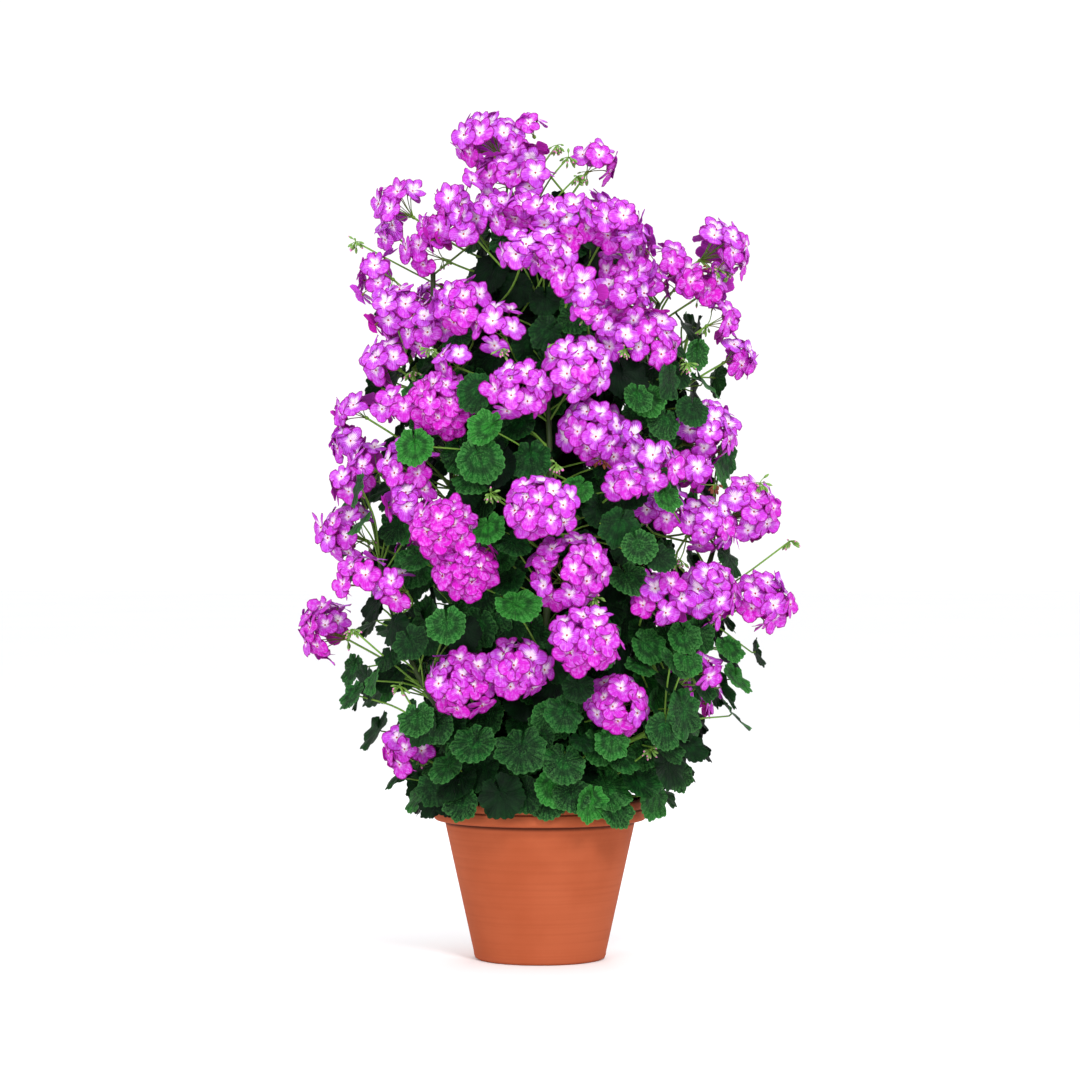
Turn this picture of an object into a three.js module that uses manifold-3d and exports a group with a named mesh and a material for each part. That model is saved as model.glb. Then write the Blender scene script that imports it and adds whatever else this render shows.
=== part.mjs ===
// A tall bushy geranium in flower, standing in a terracotta pot.
// Millimetres, +Z up. The origin is on the pot's axis, at its foot. The plant's front faces -Y.
import * as THREE from 'three';
import Module from 'manifold-3d';

const wasm = await Module();
wasm.setup();

// Pot
const POT_HEIGHT = 264;
const FOOT_RADIUS = 100;
const BODY_FOOT_RADIUS = 106.8;
const BODY_TAPER = 0.2215;
const RIM_RADIUS = 175;
const RIM_HEIGHT = 35;
const RIM_STEP = 15;
const GROOVE_DEPTH = 2.4;
const WALL = 11;
const FLOOR = 16;
const MOUTH_RADIUS = 160;
const POT_SIDES = 30;
const DRAIN_RADIUS = 11;
const DRAIN_CIRCLE = 58;
const DRAINS = 3;
const DRAIN_SIDES = 8;

// Soil
const SOIL_EDGE = 235;
const SOIL_CROWN = 8;
const SOIL_RELIEF = 3;
// A lower ring inside the soil's edge, as a part of its radius and of the crown's rise
const SOIL_RING = [0.68, 0.55];
const CLEARANCE = 0.4;

// Stems, stalks and blades
const STEM_FOOT = 195;
const STEM_HOLE_RADIUS = 8.4;
const STEM_HOLE_TOP = 275;
const HOLE_SIDES = 7;
const STEM_SIDES = 5;
const STEM_STEP = 88;
const STALK_RADIUS = 1.8;
const PETIOLE_RADIUS = 1.6;
const BLADE_HALF_THICKNESS = 1;
const BUD_RADIUS = 15;
const BUD_RAYS = 5;
// Parts of a bud cluster's radius: how far its notches reach, its rays hang, and it is thick
const BUD_NOTCH = 0.45;
const BUD_HANG = 0.35;
const BUD_CROWN = 0.5;
const BUD_BASE = 0.3;
// A blade's stalk meets it this part of its radius behind its middle, and this far under it
const HUB_OFF = 0.25;
const STALK_REACH = 6;
// How long stalks like to be: for flower heads, for buds, and for leaves as a part of their radius
const FLOWER_STALK = 120;
const BUD_STALK = 130;
const LEAF_STALK = 2.4;
// A flower stalk's middle is drawn this far from the straight line towards the head's axis
const STALK_BOW = 0.45;
// A leaf stalk's middle lies this far behind the straight line, and this far above it
const PETIOLE_BACK = 0.08;
const PETIOLE_RISE = 0.06;

// Stalks sprout from facets of a stem that are high and large enough
const SPROUT_LOWEST = 258;
const SPROUT_EDGE = 40;
const SPROUT_ROOM = STALK_RADIUS + 0.2;
// A sprout leaves its facet at no more than a slant: the least cosine, overall and at its foot
const SPROUT_FACING = 0.35;
const SPROUT_FOOT_FACING = 0.25;
// The same for a flower stalk's way into its head
const HEAD_FACING = 0.3;
// A blade turns its back to its stalk's foot: the least cosine of the way there
const BLADE_FACING = 0.2;
// A sprout likes to rise at least this much, and each missing millimetre counts this much
const SPROUT_RISE = 30;
const RISE_COST = 1.5;
// A sprout lies no farther than this many times the length that its stalk likes
const SPROUT_FARTHEST = 3;

// Gaps that stalks keep: from heads, from their own stem's stalks, from others, and from blades
const HEAD_GAP = 1.5;
const OWN_GAP = 0.8;
const OTHER_GAP = 1.4;
const BUD_GAP = 2;
const BLADE_GAP = 5;
const POT_GAP = 5;
const POT_TOP_GAP = 4;

// Flower heads: petal tips stand at the full radius, the eyes and the gaps lie lower
const EYE_DEPTH = 0.86;
const GAP_DEPTH = 0.72;
const ROOT_DEPTH = { trio: 0.6, dome: 0.74, ball: 0.84 };
const FUSED_APART = 0.9;
const SPINDLE = 0.15;
// Heads of a group keep this part of their differences in depth
const GROUP_DEPTH = 0.4;
// A petal tip lies between these parts of its edge, this far towards the eye, and up to this low
const PETAL_PLACE = [0.42, 0.58];
const PETAL_INWARD = 0.14;
const PETAL_DROOP = 0.07;
// Small heads have three florets, most have six, and the fullest have eleven
const BALL_FROM = 56;
const DOME_FROM = 39;
// Heads and leaves face the front and the back more than their places alone would make them
const HEAD_FRONTNESS = 1.3;
const LEAF_FRONTNESS = 1.8;
// Heads tilt up, and near the plant's top still more
const HEAD_LIFT = 0.5;
const LIFT_FROM = 1150;
const LIFT_SPAN = 300;

// Separate heads settle in depth until they clear each other and the stems
const SETTLE_ROUNDS = 400;
const SETTLE_SWELL = 1.02;
const SETTLE_GAP = 2.5;
const SETTLE_PUSH = 0.3;
const STEM_GAP = 9;
const STEM_PUSH = 0.6;

// Places are read as seen from the front, in the upright plane through the pot's axis. Each is
// then moved along the line of sight to its own depth.
const EYE_DISTANCE = 5500;
const EYE_HEIGHT = 690;

// Half the plant's width, and how far it reaches towards the front, at each height
const REACH = [
  [250, 205, 200],
  [340, 290, 235],
  [430, 330, 260],
  [590, 385, 285],
  [750, 370, 280],
  [900, 330, 255],
  [1080, 300, 230],
  [1220, 250, 190],
  [1290, 140, 110],
  [1390, 70, 60],
];

// Each leafy stem's main run and side runs, as [x, y, z] points, with the radius at its foot
const STEMS = {
  stem_crown: [
    [7, [0, 0, STEM_FOOT], [0, 0, 262], [8, 6, 430], [-6, 0, 700], [-26, 6, 960], [-36, -6, 1130],
      [-42, -10, 1255]],
  ],
  stem_left: [
    [6.5, [-48, -12, STEM_FOOT], [-48, -12, 262], [-78, -22, 420], [-122, -34, 620], [-150, -40, 850],
      [-172, -30, 1020], [-176, -24, 1130]],
    [4, [-150, -40, 850], [-190, -30, 930], [-222, -18, 1010]],
  ],
  stem_right: [
    [6.5, [46, 8, STEM_FOOT], [46, 8, 262], [84, 2, 420], [128, -12, 620], [152, -22, 850],
      [172, -20, 1000], [196, -16, 1080]],
    [4, [152, -22, 850], [198, -10, 910], [236, 0, 990]],
  ],
  stem_front: [
    [6.5, [8, -50, STEM_FOOT], [8, -50, 262], [2, -104, 400], [12, -150, 600], [16, -154, 800],
      [10, -136, 960], [2, -112, 1070]],
  ],
  stem_low_left: [
    [6, [-46, -56, STEM_FOOT], [-46, -56, 262], [-112, -92, 350], [-186, -100, 450], [-236, -76, 560],
      [-262, -44, 650]],
    [4, [-112, -92, 350], [-160, -132, 380], [-196, -140, 400]],
  ],
  stem_low_right: [
    [6, [54, -50, STEM_FOOT], [54, -50, 262], [118, -88, 350], [196, -100, 460], [252, -76, 580],
      [286, -44, 680]],
    [4, [118, -88, 350], [166, -130, 376], [200, -140, 390]],
  ],
  stem_back_left: [
    [6.5, [-36, 50, STEM_FOOT], [-36, 50, 262], [-84, 112, 400], [-124, 152, 620], [-118, 150, 850],
      [-88, 128, 1030]],
  ],
  stem_back_right: [
    [6.5, [40, 52, STEM_FOOT], [40, 52, 262], [92, 114, 400], [134, 146, 620], [126, 142, 850],
      [90, 122, 1010]],
  ],
};
const STEM_TIP_RADIUS = 3.9;

// Flower heads on the plant's front and sides: [x, z, radius, how far behind the front].
// Heads that grow into each other are listed together.
const FRONT_BLOOMS = [
  [[-89, 1352, 50, 0], [2, 1377, 30, 0], [-27, 1345, 32, 20]],
  [[-61, 1289, 35, 0], [-13, 1284, 34, 0]],
  [[92, 1312, 35, 0]],
  [[-234, 1243, 43, 0], [-246, 1196, 26, 20]],
  [[-173, 1208, 27, 30], [-178, 1165, 37, 40]],
  [[-140, 1246, 27, 0], [-128, 1212, 32, 0], [-81, 1230, 37, 0], [-33, 1233, 35, 0]],
  [[12, 1227, 35, 0], [59, 1222, 35, 0], [121, 1215, 40, 0]],
  [[-31, 1164, 37, 0], [20, 1165, 34, 0]],
  [[129, 1139, 33, 0], [135, 1090, 46, 0]],
  [[54, 1114, 33, 0], [81, 1068, 28, 0]],
  [[187, 1113, 28, 0], [210, 1149, 33, 0], [238, 1111, 30, 0], [277, 1099, 31, 0], [294, 1053, 34, 0]],
  [[296, 1170, 50, 0]],
  [[-263, 1131, 37, 0], [-234, 1073, 41, 0], [-182, 1035, 46, 0]],
  [[-130, 1081, 41, 0], [-66, 1040, 50, 0]],
  [[-256, 984, 40, 0]],
  [[-145, 984, 29, 0], [-160, 913, 54, 0], [-236, 913, 34, 0]],
  [[-305, 901, 34, 0], [-317, 852, 33, 0], [-284, 810, 38, 0], [-314, 784, 32, 0]],
  [[-218, 814, 45, 0], [-213, 756, 40, 0]],
  [[-319, 705, 48, 0]],
  [[-154, 710, 54, 0], [-121, 637, 50, 0]],
  [[-3, 744, 60, 0]],
  [[-35, 941, 48, 0]],
  [[63, 974, 52, 0]],
  [[83, 867, 54, 0], [139, 848, 34, 0]],
  [[125, 1024, 31, 0], [193, 1017, 45, 0]],
  [[142, 786, 35, 0], [196, 812, 36, 0]],
  [[322, 992, 35, 0]],
  [[274, 868, 56, 0], [251, 806, 34, 20]],
  [[201, 743, 40, 30], [274, 713, 51, 0], [350, 743, 51, 0]],
  [[-291, 624, 46, 0], [-234, 614, 34, 0]],
  [[-352, 543, 51, 0]],
  [[-132, 454, 59, 0], [-40, 482, 50, 0]],
  [[-220, 345, 43, 0]],
  [[46, 640, 63, 0]],
  [[74, 525, 59, 0]],
  [[125, 418, 51, 0]],
  [[196, 593, 45, 0], [284, 606, 56, 0], [365, 594, 51, 0]],
  [[264, 474, 31, 0]],
];

// Heads on the back stand in pairs that climb it, one after another round a wide arc
const BACK_PAIRS = 11;
const BACK_LOWEST = 440;
const BACK_RISE = 74;
const BACK_RADIUS = [46, 38];
const BACK_FIRST_TURN = 22;
const BACK_ARC = 136;
const BACK_OUT = 0.94;
// The second head of a pair stands this far inward and this far above the first
const PAIR_STEP = [44, 52];
const GOLDEN_PART = 0.618034;

// Leaves that show from the front: [x, z, radius]
const FRONT_LEAVES = [
  [-172, 277, 29], [-154, 313, 31], [-127, 285, 31], [-111, 351, 35], [-33, 340, 40],
  [-61, 264, 36], [-22, 266, 30], [12, 258, 30], [38, 318, 33], [38, 401, 31],
  [2, 362, 20], [70, 356, 22], [99, 346, 30], [52, 268, 29], [112, 274, 38],
  [165, 285, 31], [182, 380, 31], [236, 401, 41], [211, 313, 36], [248, 345, 28],
  [322, 398, 34], [325, 459, 28], [314, 508, 28], [358, 500, 26], [-338, 455, 20],
  [-310, 431, 26], [-297, 508, 25], [-277, 455, 22], [-228, 454, 31], [-211, 517, 34],
  [-154, 545, 35], [-206, 657, 31], [-269, 371, 34], [-236, 302, 27], [-211, 406, 30],
  [-223, 706, 40], [-206, 839, 34], [-33, 579, 40], [-83, 616, 34], [165, 677, 31],
  [198, 657, 29], [-107, 789, 40], [-91, 872, 34], [-66, 901, 29], [-5, 868, 32],
  [-63, 1086, 28], [-17, 1086, 30], [25, 1094, 25], [-41, 682, 30], [61, 773, 27],
  [160, 921, 28], [228, 957, 25], [190, 967, 26], [248, 1045, 25],
];
// A front leaf that finds no room is tried again this much deeper, this many times
const DEEPER = 13;
const FRONT_TRIES = 9;
// Its middle lies this part of its radius inside the plant's surface
const LEAF_SUNK = 0.3;
// As many sprouts are tried for each leaf
const SITE_TRIES = 60;

// More leaves fill the plant on all sides, denser low down. Each stands at a part of the plant's
// reach, and is tried again this much nearer the axis.
const FILL_LEAVES = 94;
const FILL_RADIUS = [33, 43];
const FILL_LOWEST = 275;
const FILL_SPAN = 930;
const FILL_BIAS = 1.3;
const FILL_OUT = [0.72, 0.92];
const FILL_INWARD = 0.12;
const FILL_TRIES = 4;

// A leaf faces outward and between these parts upward, its tip hangs, and both are shaken
const LEAF_LIFT = [0.2, 0.9];
const LEAF_SHAKE = 0.7;
const TIP_OUT = 0.3;
const TIP_DROP = 0.8;
const TIP_SHAKE = 0.9;
// Leaves reach farther at the tip than at the sides, and their lobes rise over their notches
const LEAF_REACH = 1.02;
const LEAF_LENGTHEN = 0.2;
const LOBE_RISE = 0.1;
const NOTCH_SINK = 0.02;
const SINUS_REACH = 0.2;

// Bud clusters on their own stalks: [x, z]
const BUDS = [
  [36, 1345], [-304, 1185], [412, 690], [-309, 545], [182, 346], [-231, 450], [244, 984],
  [28, 817], [-20, 916], [-82, 768],
];

const SEED = 20250;
// Lengths and sines under these count as none
const TINY = 1e-9;
const NEARLY_LEVEL = 0.2;

const up = new THREE.Vector3(0, 0, 1);

function vec(x, y, z) {
  return new THREE.Vector3(x, y, z);
}

function mix(a, b, share) {
  return a.clone().lerp(b, share);
}

function between([low, high], share) {
  return low + (high - low) * share;
}

// A small seeded generator of numbers from 0 to 1
function seeded(seed) {
  let state = seed >>> 0;
  return () => {
    state = (state + 0x6d2b79f5) >>> 0;
    let t = Math.imul(state ^ (state >>> 15), 1 | state);
    t = (t + Math.imul(t ^ (t >>> 7), 61 | t)) ^ t;
    return ((t ^ (t >>> 14)) >>> 0) / 4294967296;
  };
}

// The plant's reach at a height: [half width, depth]
function reachAt(z) {
  const last = REACH.length - 1;
  if (z <= REACH[0][0]) return REACH[0].slice(1);
  if (z >= REACH[last][0]) return REACH[last].slice(1);
  const i = REACH.findIndex((row) => row[0] > z);
  const low = REACH[i - 1];
  const high = REACH[i];
  const share = (z - low[0]) / (high[0] - low[0]);
  return [1, 2].map((k) => between([low[k], high[k]], share));
}

// How deep the plant's surface lies at x, for something of this radius that sits in it
function surfaceDepth(x, z, radius) {
  const [wide, deep] = reachAt(z);
  const inner = Math.max(wide - radius, 1);
  const across = Math.min(Math.abs(x) / inner, 1);
  return Math.max(deep - radius, 0) * Math.sqrt(1 - across * across);
}

// What is seen at (x, z), with this radius, at its true place for a depth y
function seen(x, z, y, radius) {
  const scale = 1 + y / EYE_DISTANCE;
  return { centre: vec(x * scale, y, EYE_HEIGHT + (z - EYE_HEIGHT) * scale), radius: radius * scale };
}

// Distances between points, stretches, spheres and flat discs
function pointToStretch(p, a, b) {
  const along = b.clone().sub(a);
  const t = THREE.MathUtils.clamp(p.clone().sub(a).dot(along) / along.lengthSq(), 0, 1);
  return p.distanceTo(a.clone().addScaledVector(along, t));
}

function stretchToStretch(a, b, c, d) {
  const u = b.clone().sub(a);
  const w = d.clone().sub(c);
  const r = a.clone().sub(c);
  const uu = u.dot(u);
  const ww = w.dot(w);
  const uw = u.dot(w);
  const ur = u.dot(r);
  const wr = w.dot(r);
  const flat = uu * ww - uw * uw;
  let s = flat > TINY ? THREE.MathUtils.clamp((uw * wr - ww * ur) / flat, 0, 1) : 0;
  let t = (uw * s + wr) / ww;
  if (t < 0 || t > 1) {
    t = THREE.MathUtils.clamp(t, 0, 1);
    s = THREE.MathUtils.clamp((uw * t - ur) / uu, 0, 1);
  }
  return a.clone().addScaledVector(u, s).distanceTo(c.clone().addScaledVector(w, t));
}

function pointToDisc(p, disc) {
  const off = p.clone().sub(disc.centre);
  const high = off.dot(disc.normal);
  const across = Math.sqrt(Math.max(off.lengthSq() - high * high, 0));
  return Math.hypot(Math.max(across - disc.radius, 0), high);
}

function stretchMeetsDisc(a, b, disc, margin) {
  if (Math.min(pointToDisc(a, disc), pointToDisc(b, disc)) < margin) return true;
  const ha = a.clone().sub(disc.centre).dot(disc.normal);
  const hb = b.clone().sub(disc.centre).dot(disc.normal);
  if (ha * hb > 0) return false;
  return mix(a, b, ha / (ha - hb)).distanceTo(disc.centre) < disc.radius + margin;
}

function discsMeet(one, two, margin) {
  const gap = one.centre.distanceTo(two.centre);
  if (gap > one.radius + two.radius + margin) return false;
  const line = one.normal.clone().cross(two.normal);
  const spread = line.length();
  const apart = Math.abs(one.centre.clone().sub(two.centre).dot(one.normal));
  if (spread < NEARLY_LEVEL) return apart < margin * 2;
  line.divideScalar(spread);
  const h1 = one.normal.dot(one.centre);
  const h2 = two.normal.dot(two.centre);
  const facing = one.normal.dot(two.normal);
  const root = one.normal.clone().multiplyScalar(h1 - h2 * facing);
  root.addScaledVector(two.normal, h2 - h1 * facing);
  root.divideScalar(spread * spread);
  const chords = [one, two].map((disc) => {
    const middle = disc.centre.clone().sub(root).dot(line);
    const away = disc.centre.distanceTo(root.clone().addScaledVector(line, middle));
    const reach = disc.radius + margin;
    if (away >= reach) return null;
    const half = Math.sqrt(reach * reach - away * away);
    return [middle - half, middle + half];
  });
  if (!chords[0] || !chords[1]) return false;
  return Math.max(chords[0][0], chords[1][0]) < Math.min(chords[0][1], chords[1][1]);
}

// A smooth run through the points, with equal steps in each span
function smoothRun(points, step) {
  const run = [points[0]];
  for (let i = 1; i < points.length; i += 1) {
    const a = points[Math.max(i - 2, 0)];
    const b = points[i - 1];
    const c = points[i];
    const d = points[Math.min(i + 1, points.length - 1)];
    const steps = Math.max(1, Math.round(b.distanceTo(c) / step));
    for (let k = 1; k <= steps; k += 1) {
      const t = k / steps;
      const place = b.clone().multiplyScalar(2);
      place.addScaledVector(c.clone().sub(a), t);
      place.addScaledVector(a, 2 * t * t).addScaledVector(b, -5 * t * t);
      place.addScaledVector(c, 4 * t * t).addScaledVector(d, -t * t);
      place.addScaledVector(a, -(t ** 3)).addScaledVector(b, 3 * t ** 3);
      place.addScaledVector(c, -3 * t ** 3).addScaledVector(d, t ** 3);
      run.push(place.multiplyScalar(0.5));
    }
  }
  return run;
}

// Points of a ring round a centre, from u towards w
function ringPoints(centre, u, w, radius, sides) {
  return Array.from({ length: sides }, (_, k) => {
    const turn = (2 * Math.PI * k) / sides;
    return centre.clone()
      .addScaledVector(u, radius * Math.cos(turn))
      .addScaledVector(w, radius * Math.sin(turn));
  });
}

// Rings of points across a run, square to it and not twisted
function ringsAlong(points, radii, sides, side) {
  return points.map((p, i) => {
    const along = (points[i + 1] ?? p).clone().sub(points[i - 1] ?? p).normalize();
    const u = side.clone().addScaledVector(along, -side.dot(along)).normalize();
    return ringPoints(p, u, along.clone().cross(u), radii[i], sides);
  });
}

// Triangles between one ring of points and the next
function band(first, next, sides) {
  return Array.from({ length: sides }, (_, k) => {
    const l = (k + 1) % sides;
    return [[first + k, first + l, next + l], [first + k, next + l, next + k]];
  }).flat();
}

function tube(points, radii, sides) {
  const rings = ringsAlong(points, radii, sides, vec(1, 0, 0));
  const faces = [];
  for (let k = 1; k < sides - 1; k += 1) faces.push([0, k + 1, k]);
  for (let r = 1; r < rings.length; r += 1) faces.push(...band((r - 1) * sides, r * sides, sides));
  const last = (rings.length - 1) * sides;
  for (let k = 1; k < sides - 1; k += 1) faces.push([last, last + k, last + k + 1]);
  return { all: rings.flat(), faces };
}

// Every run of stem starts as a plain tapered tube. A stalk can sprout from any of its facets,
// so each facet is a place with a middle, a normal and the room that a ring has in it.
const runs = [];
const sites = [];
for (const [node, list] of Object.entries(STEMS)) {
  for (const [radius, ...marks] of list) {
    const points = marks.map((p) => vec(...p));
    const foot = marks[0][2] === STEM_FOOT ? [points.shift()] : [];
    const places = [...foot, ...smoothRun(points, STEM_STEP)];
    const taper = (STEM_TIP_RADIUS - radius) / (places.length - 1);
    const radii = places.map((_, i) => radius + taper * i);
    const run = { node, points: places, radii, ...tube(places, radii, STEM_SIDES) };
    runs.push(run);
    run.faces.forEach((face, index) => {
      const [a, b, c] = face.map((k) => run.all[k]);
      const sides = [b.distanceTo(c), c.distanceTo(a), a.distanceTo(b)];
      const edge = sides[0] + sides[1] + sides[2];
      const point = a.clone().multiplyScalar(sides[0]);
      point.addScaledVector(b, sides[1]).addScaledVector(c, sides[2]).divideScalar(edge);
      const normal = b.clone().sub(a).cross(c.clone().sub(a));
      const room = normal.length() / edge;
      if (point.z < SPROUT_LOWEST || edge < SPROUT_EDGE || room < SPROUT_ROOM) return;
      sites.push({ node, run, index, point, normal: normal.normalize(), used: false });
    });
  }
}

// Stretches of stem and stalk that later pieces keep clear of
const stretches = [];
function keepStretches(run, points, radii, isStem) {
  for (let i = 1; i < points.length; i += 1) {
    stretches.push({ run, isStem, a: points[i - 1], b: points[i], radius: radii[i - 1] });
  }
}
for (const run of runs) keepStretches(run, run.points, run.radii, true);

// Flower heads, settled in depth so that separate ones don't touch each other or the stems
function drawTo(others, head) {
  const far = (other) => Math.hypot(other.x - head.x, other.y - head.y, other.z - head.z);
  const ratio = (other) => far(other) / (other.radius + head.radius);
  const near = others.reduce((best, other) => (ratio(other) < ratio(best) ? other : best));
  const share = 1 - Math.min(FUSED_APART / ratio(near), 1);
  for (const axis of ['x', 'y', 'z']) head[axis] += (near[axis] - head[axis]) * share;
}

function bloomGroups() {
  const groups = FRONT_BLOOMS.map((heads) => ({
    shift: 0,
    heads: heads.map(([x, z, radius, behind]) => ({
      x, z, radius, y: behind - surfaceDepth(x, z, radius),
    })),
  }));
  for (let i = 0; i < BACK_PAIRS; i += 1) {
    const z = BACK_LOWEST + BACK_RISE * i;
    const turn = THREE.MathUtils.degToRad(BACK_FIRST_TURN + BACK_ARC * ((i * GOLDEN_PART) % 1));
    const [wide] = reachAt(z);
    const x = (wide - BACK_RADIUS[0]) * BACK_OUT * Math.cos(turn);
    const inward = x > 0 ? -1 : 1;
    const next = x + inward * PAIR_STEP[0];
    const places = [[x, z, BACK_RADIUS[0]], [next, z + PAIR_STEP[1], BACK_RADIUS[1]]];
    groups.push({
      shift: 0,
      heads: places.map(([px, pz, radius]) => ({ x: px, z: pz, radius, y: surfaceDepth(px, pz, radius) })),
    });
  }
  for (const group of groups) {
    const mean = group.heads.reduce((sum, head) => sum + head.y, 0) / group.heads.length;
    group.heads.forEach((head, i) => {
      head.y = mean + (head.y - mean) * GROUP_DEPTH;
      if (i > 0) drawTo(group.heads.slice(0, i), head);
    });
  }
  return groups;
}

function settle(groups) {
  const pairs = [];
  groups.forEach((one, i) => {
    for (const two of groups.slice(i + 1)) {
      for (const a of one.heads) {
        for (const b of two.heads) {
          const need = (a.radius + b.radius) * SETTLE_SWELL + SETTLE_GAP;
          const aside = Math.hypot(a.x - b.x, a.z - b.z);
          if (aside < need) pairs.push({ one, two, a, b, need: Math.sqrt(need * need - aside * aside) });
        }
      }
    }
  });
  for (let round = 0; round < SETTLE_ROUNDS; round += 1) {
    for (const pair of pairs) {
      const apart = pair.b.y + pair.two.shift - (pair.a.y + pair.one.shift);
      const short = pair.need - Math.abs(apart);
      if (short <= 0) continue;
      const push = (apart >= 0 ? SETTLE_PUSH : -SETTLE_PUSH) * short;
      pair.one.shift -= push;
      pair.two.shift += push;
    }
    for (const group of groups) {
      for (const head of group.heads) {
        const { centre, radius } = seen(head.x, head.z, head.y + group.shift, head.radius);
        for (const stretch of stretches) {
          const short = radius + stretch.radius + STEM_GAP - pointToStretch(centre, stretch.a, stretch.b);
          if (short <= 0) continue;
          const middle = (stretch.a.y + stretch.b.y) / 2;
          group.shift += (centre.y < middle ? -STEM_PUSH : STEM_PUSH) * short;
        }
      }
    }
  }
}

const groups = bloomGroups();
settle(groups);

// Each head faces outward and up
function kindOf(radius) {
  if (radius >= BALL_FROM) return 'ball';
  return radius >= DOME_FROM ? 'dome' : 'trio';
}

const heads = [];
groups.forEach((group, i) => {
  const node = `bloom_${String(i + 1).padStart(2, '0')}`;
  for (const head of group.heads) {
    const placed = seen(head.x, head.z, head.y + group.shift, head.radius);
    const outward = vec(placed.centre.x, placed.centre.y * HEAD_FRONTNESS, 0).normalize();
    const lift = HEAD_LIFT + Math.max(placed.centre.z - LIFT_FROM, 0) / LIFT_SPAN;
    const axis = outward.clone().addScaledVector(up, lift).normalize();
    const kind = kindOf(head.radius);
    const root = placed.centre.clone().addScaledVector(axis, -ROOT_DEPTH[kind] * placed.radius);
    heads.push({ node, ...placed, axis, kind, root });
  }
});

// Free places to sprout a stalk that ends at a point and likes a length, the best first
function sitesFor(end, length) {
  const rated = [];
  for (const site of sites) {
    if (site.used) continue;
    const way = end.clone().sub(site.point);
    const far = way.length();
    if (far > SPROUT_FARTHEST * length || way.dot(site.normal) < SPROUT_FACING * far) continue;
    const low = Math.max(SPROUT_RISE - way.z, 0);
    rated.push({ site, cost: Math.abs(far - length) + low * RISE_COST });
  }
  rated.sort((a, b) => a.cost - b.cost);
  return rated.map((item) => item.site);
}

// True if the way from one point to another is at no more than a slant to a direction
function follows(from, to, direction, least) {
  return to.clone().sub(from).dot(direction) >= least * to.distanceTo(from);
}

// A flower stalk rises in a bow and comes into its head along the head's axis
function stalkPoints(site, end, axis) {
  const far = site.point.distanceTo(end);
  const middle = mix(site.point, end, 0.5);
  middle.lerp(end.clone().addScaledVector(axis, -0.5 * far), STALK_BOW);
  if (!follows(middle, end, axis, HEAD_FACING)) return null;
  if (!follows(site.point, middle, site.normal, SPROUT_FOOT_FACING)) return null;
  return [site.point, middle, end];
}

// A leaf or bud stalk comes up to its blade from behind
function bladeStalk(site, { centre, normal, tip, radius }, shape) {
  const hub = centre.clone().addScaledVector(tip, -HUB_OFF * radius);
  const far = site.point.distanceTo(hub);
  if (!follows(site.point, hub, normal, BLADE_FACING)) return null;
  const middle = mix(hub, site.point, 0.5);
  middle.addScaledVector(normal, -PETIOLE_BACK * far).addScaledVector(up, PETIOLE_RISE * far);
  if (!follows(site.point, middle, site.normal, SPROUT_FOOT_FACING)) return null;
  const end = hub.addScaledVector(normal, -STALK_REACH);
  return shape.straight ? [site.point, end] : [site.point, middle, end];
}

// Blades that later pieces keep clear of
const discs = [];

// Grows the stalk and the blade on it, and keeps what comes later clear of both
function growBlade(site, blade, points, radius, shape) {
  const ring = sprout(site, points.slice(1, -1), radius);
  addBlade(site.run, ring, blade, radius, shape);
  site.used = true;
  keepStretches(site.run, points, points.map(() => radius), false);
  discs.push(blade);
}

function clearsPot(p) {
  const out = Math.hypot(p.x, p.y);
  if (out > RIM_RADIUS + POT_GAP) return true;
  if (out > MOUTH_RADIUS - POT_GAP) return p.z > POT_HEIGHT + POT_TOP_GAP;
  return p.z > SOIL_EDGE + SOIL_CROWN + SOIL_RELIEF + POT_GAP;
}

// True if a stalk from a site keeps clear of every head, blade, stem and other stalk
function stalkIsClear(site, points, radius, own) {
  for (let i = 1; i < points.length; i += 1) {
    const a = points[i - 1];
    const b = points[i];
    for (const share of [0.25, 0.5, 0.75, 1]) {
      if (!clearsPot(mix(a, b, share))) return false;
    }
    for (const head of heads) {
      if (head === own) continue;
      if (pointToStretch(head.centre, a, b) < head.radius + radius + HEAD_GAP) return false;
    }
    for (const other of stretches) {
      if (i === 1 && other.isStem && other.run === site.run) continue;
      const gap = other.run.node === site.node ? OWN_GAP : OTHER_GAP;
      if (stretchToStretch(a, b, other.a, other.b) < radius + other.radius + gap) return false;
    }
    for (const disc of discs) {
      if (stretchMeetsDisc(a, b, disc, BLADE_GAP)) return false;
    }
  }
  return true;
}

// Grows a three-sided stalk out of a facet, through the points given, and returns its last ring
function sprout(site, points, radius) {
  const { run, index } = site;
  const { all, faces } = run;
  const face = faces[index];
  const u = all[face[0]].clone().sub(site.point);
  u.addScaledVector(site.normal, -u.dot(site.normal)).normalize();
  const ringAt = (centre, normal, main) => {
    return all.push(...ringPoints(centre, main, normal.clone().cross(main), radius, 3)) - 3;
  };
  let ring = ringAt(site.point, site.normal, u);
  for (let k = 0; k < 3; k += 1) {
    const l = (k + 1) % 3;
    faces.push([face[k], face[l], ring + l], [face[k], ring + l, ring + k]);
  }
  faces[index] = null;
  points.forEach((point, i) => {
    const along = (points[i + 1] ?? point).clone().sub(points[i - 1] ?? site.point).normalize();
    const main = u.clone().addScaledVector(along, -u.dot(along)).normalize();
    const next = ringAt(point, along, main);
    faces.push(...band(ring, next, 3));
    ring = next;
  });
  return ring;
}

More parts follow.
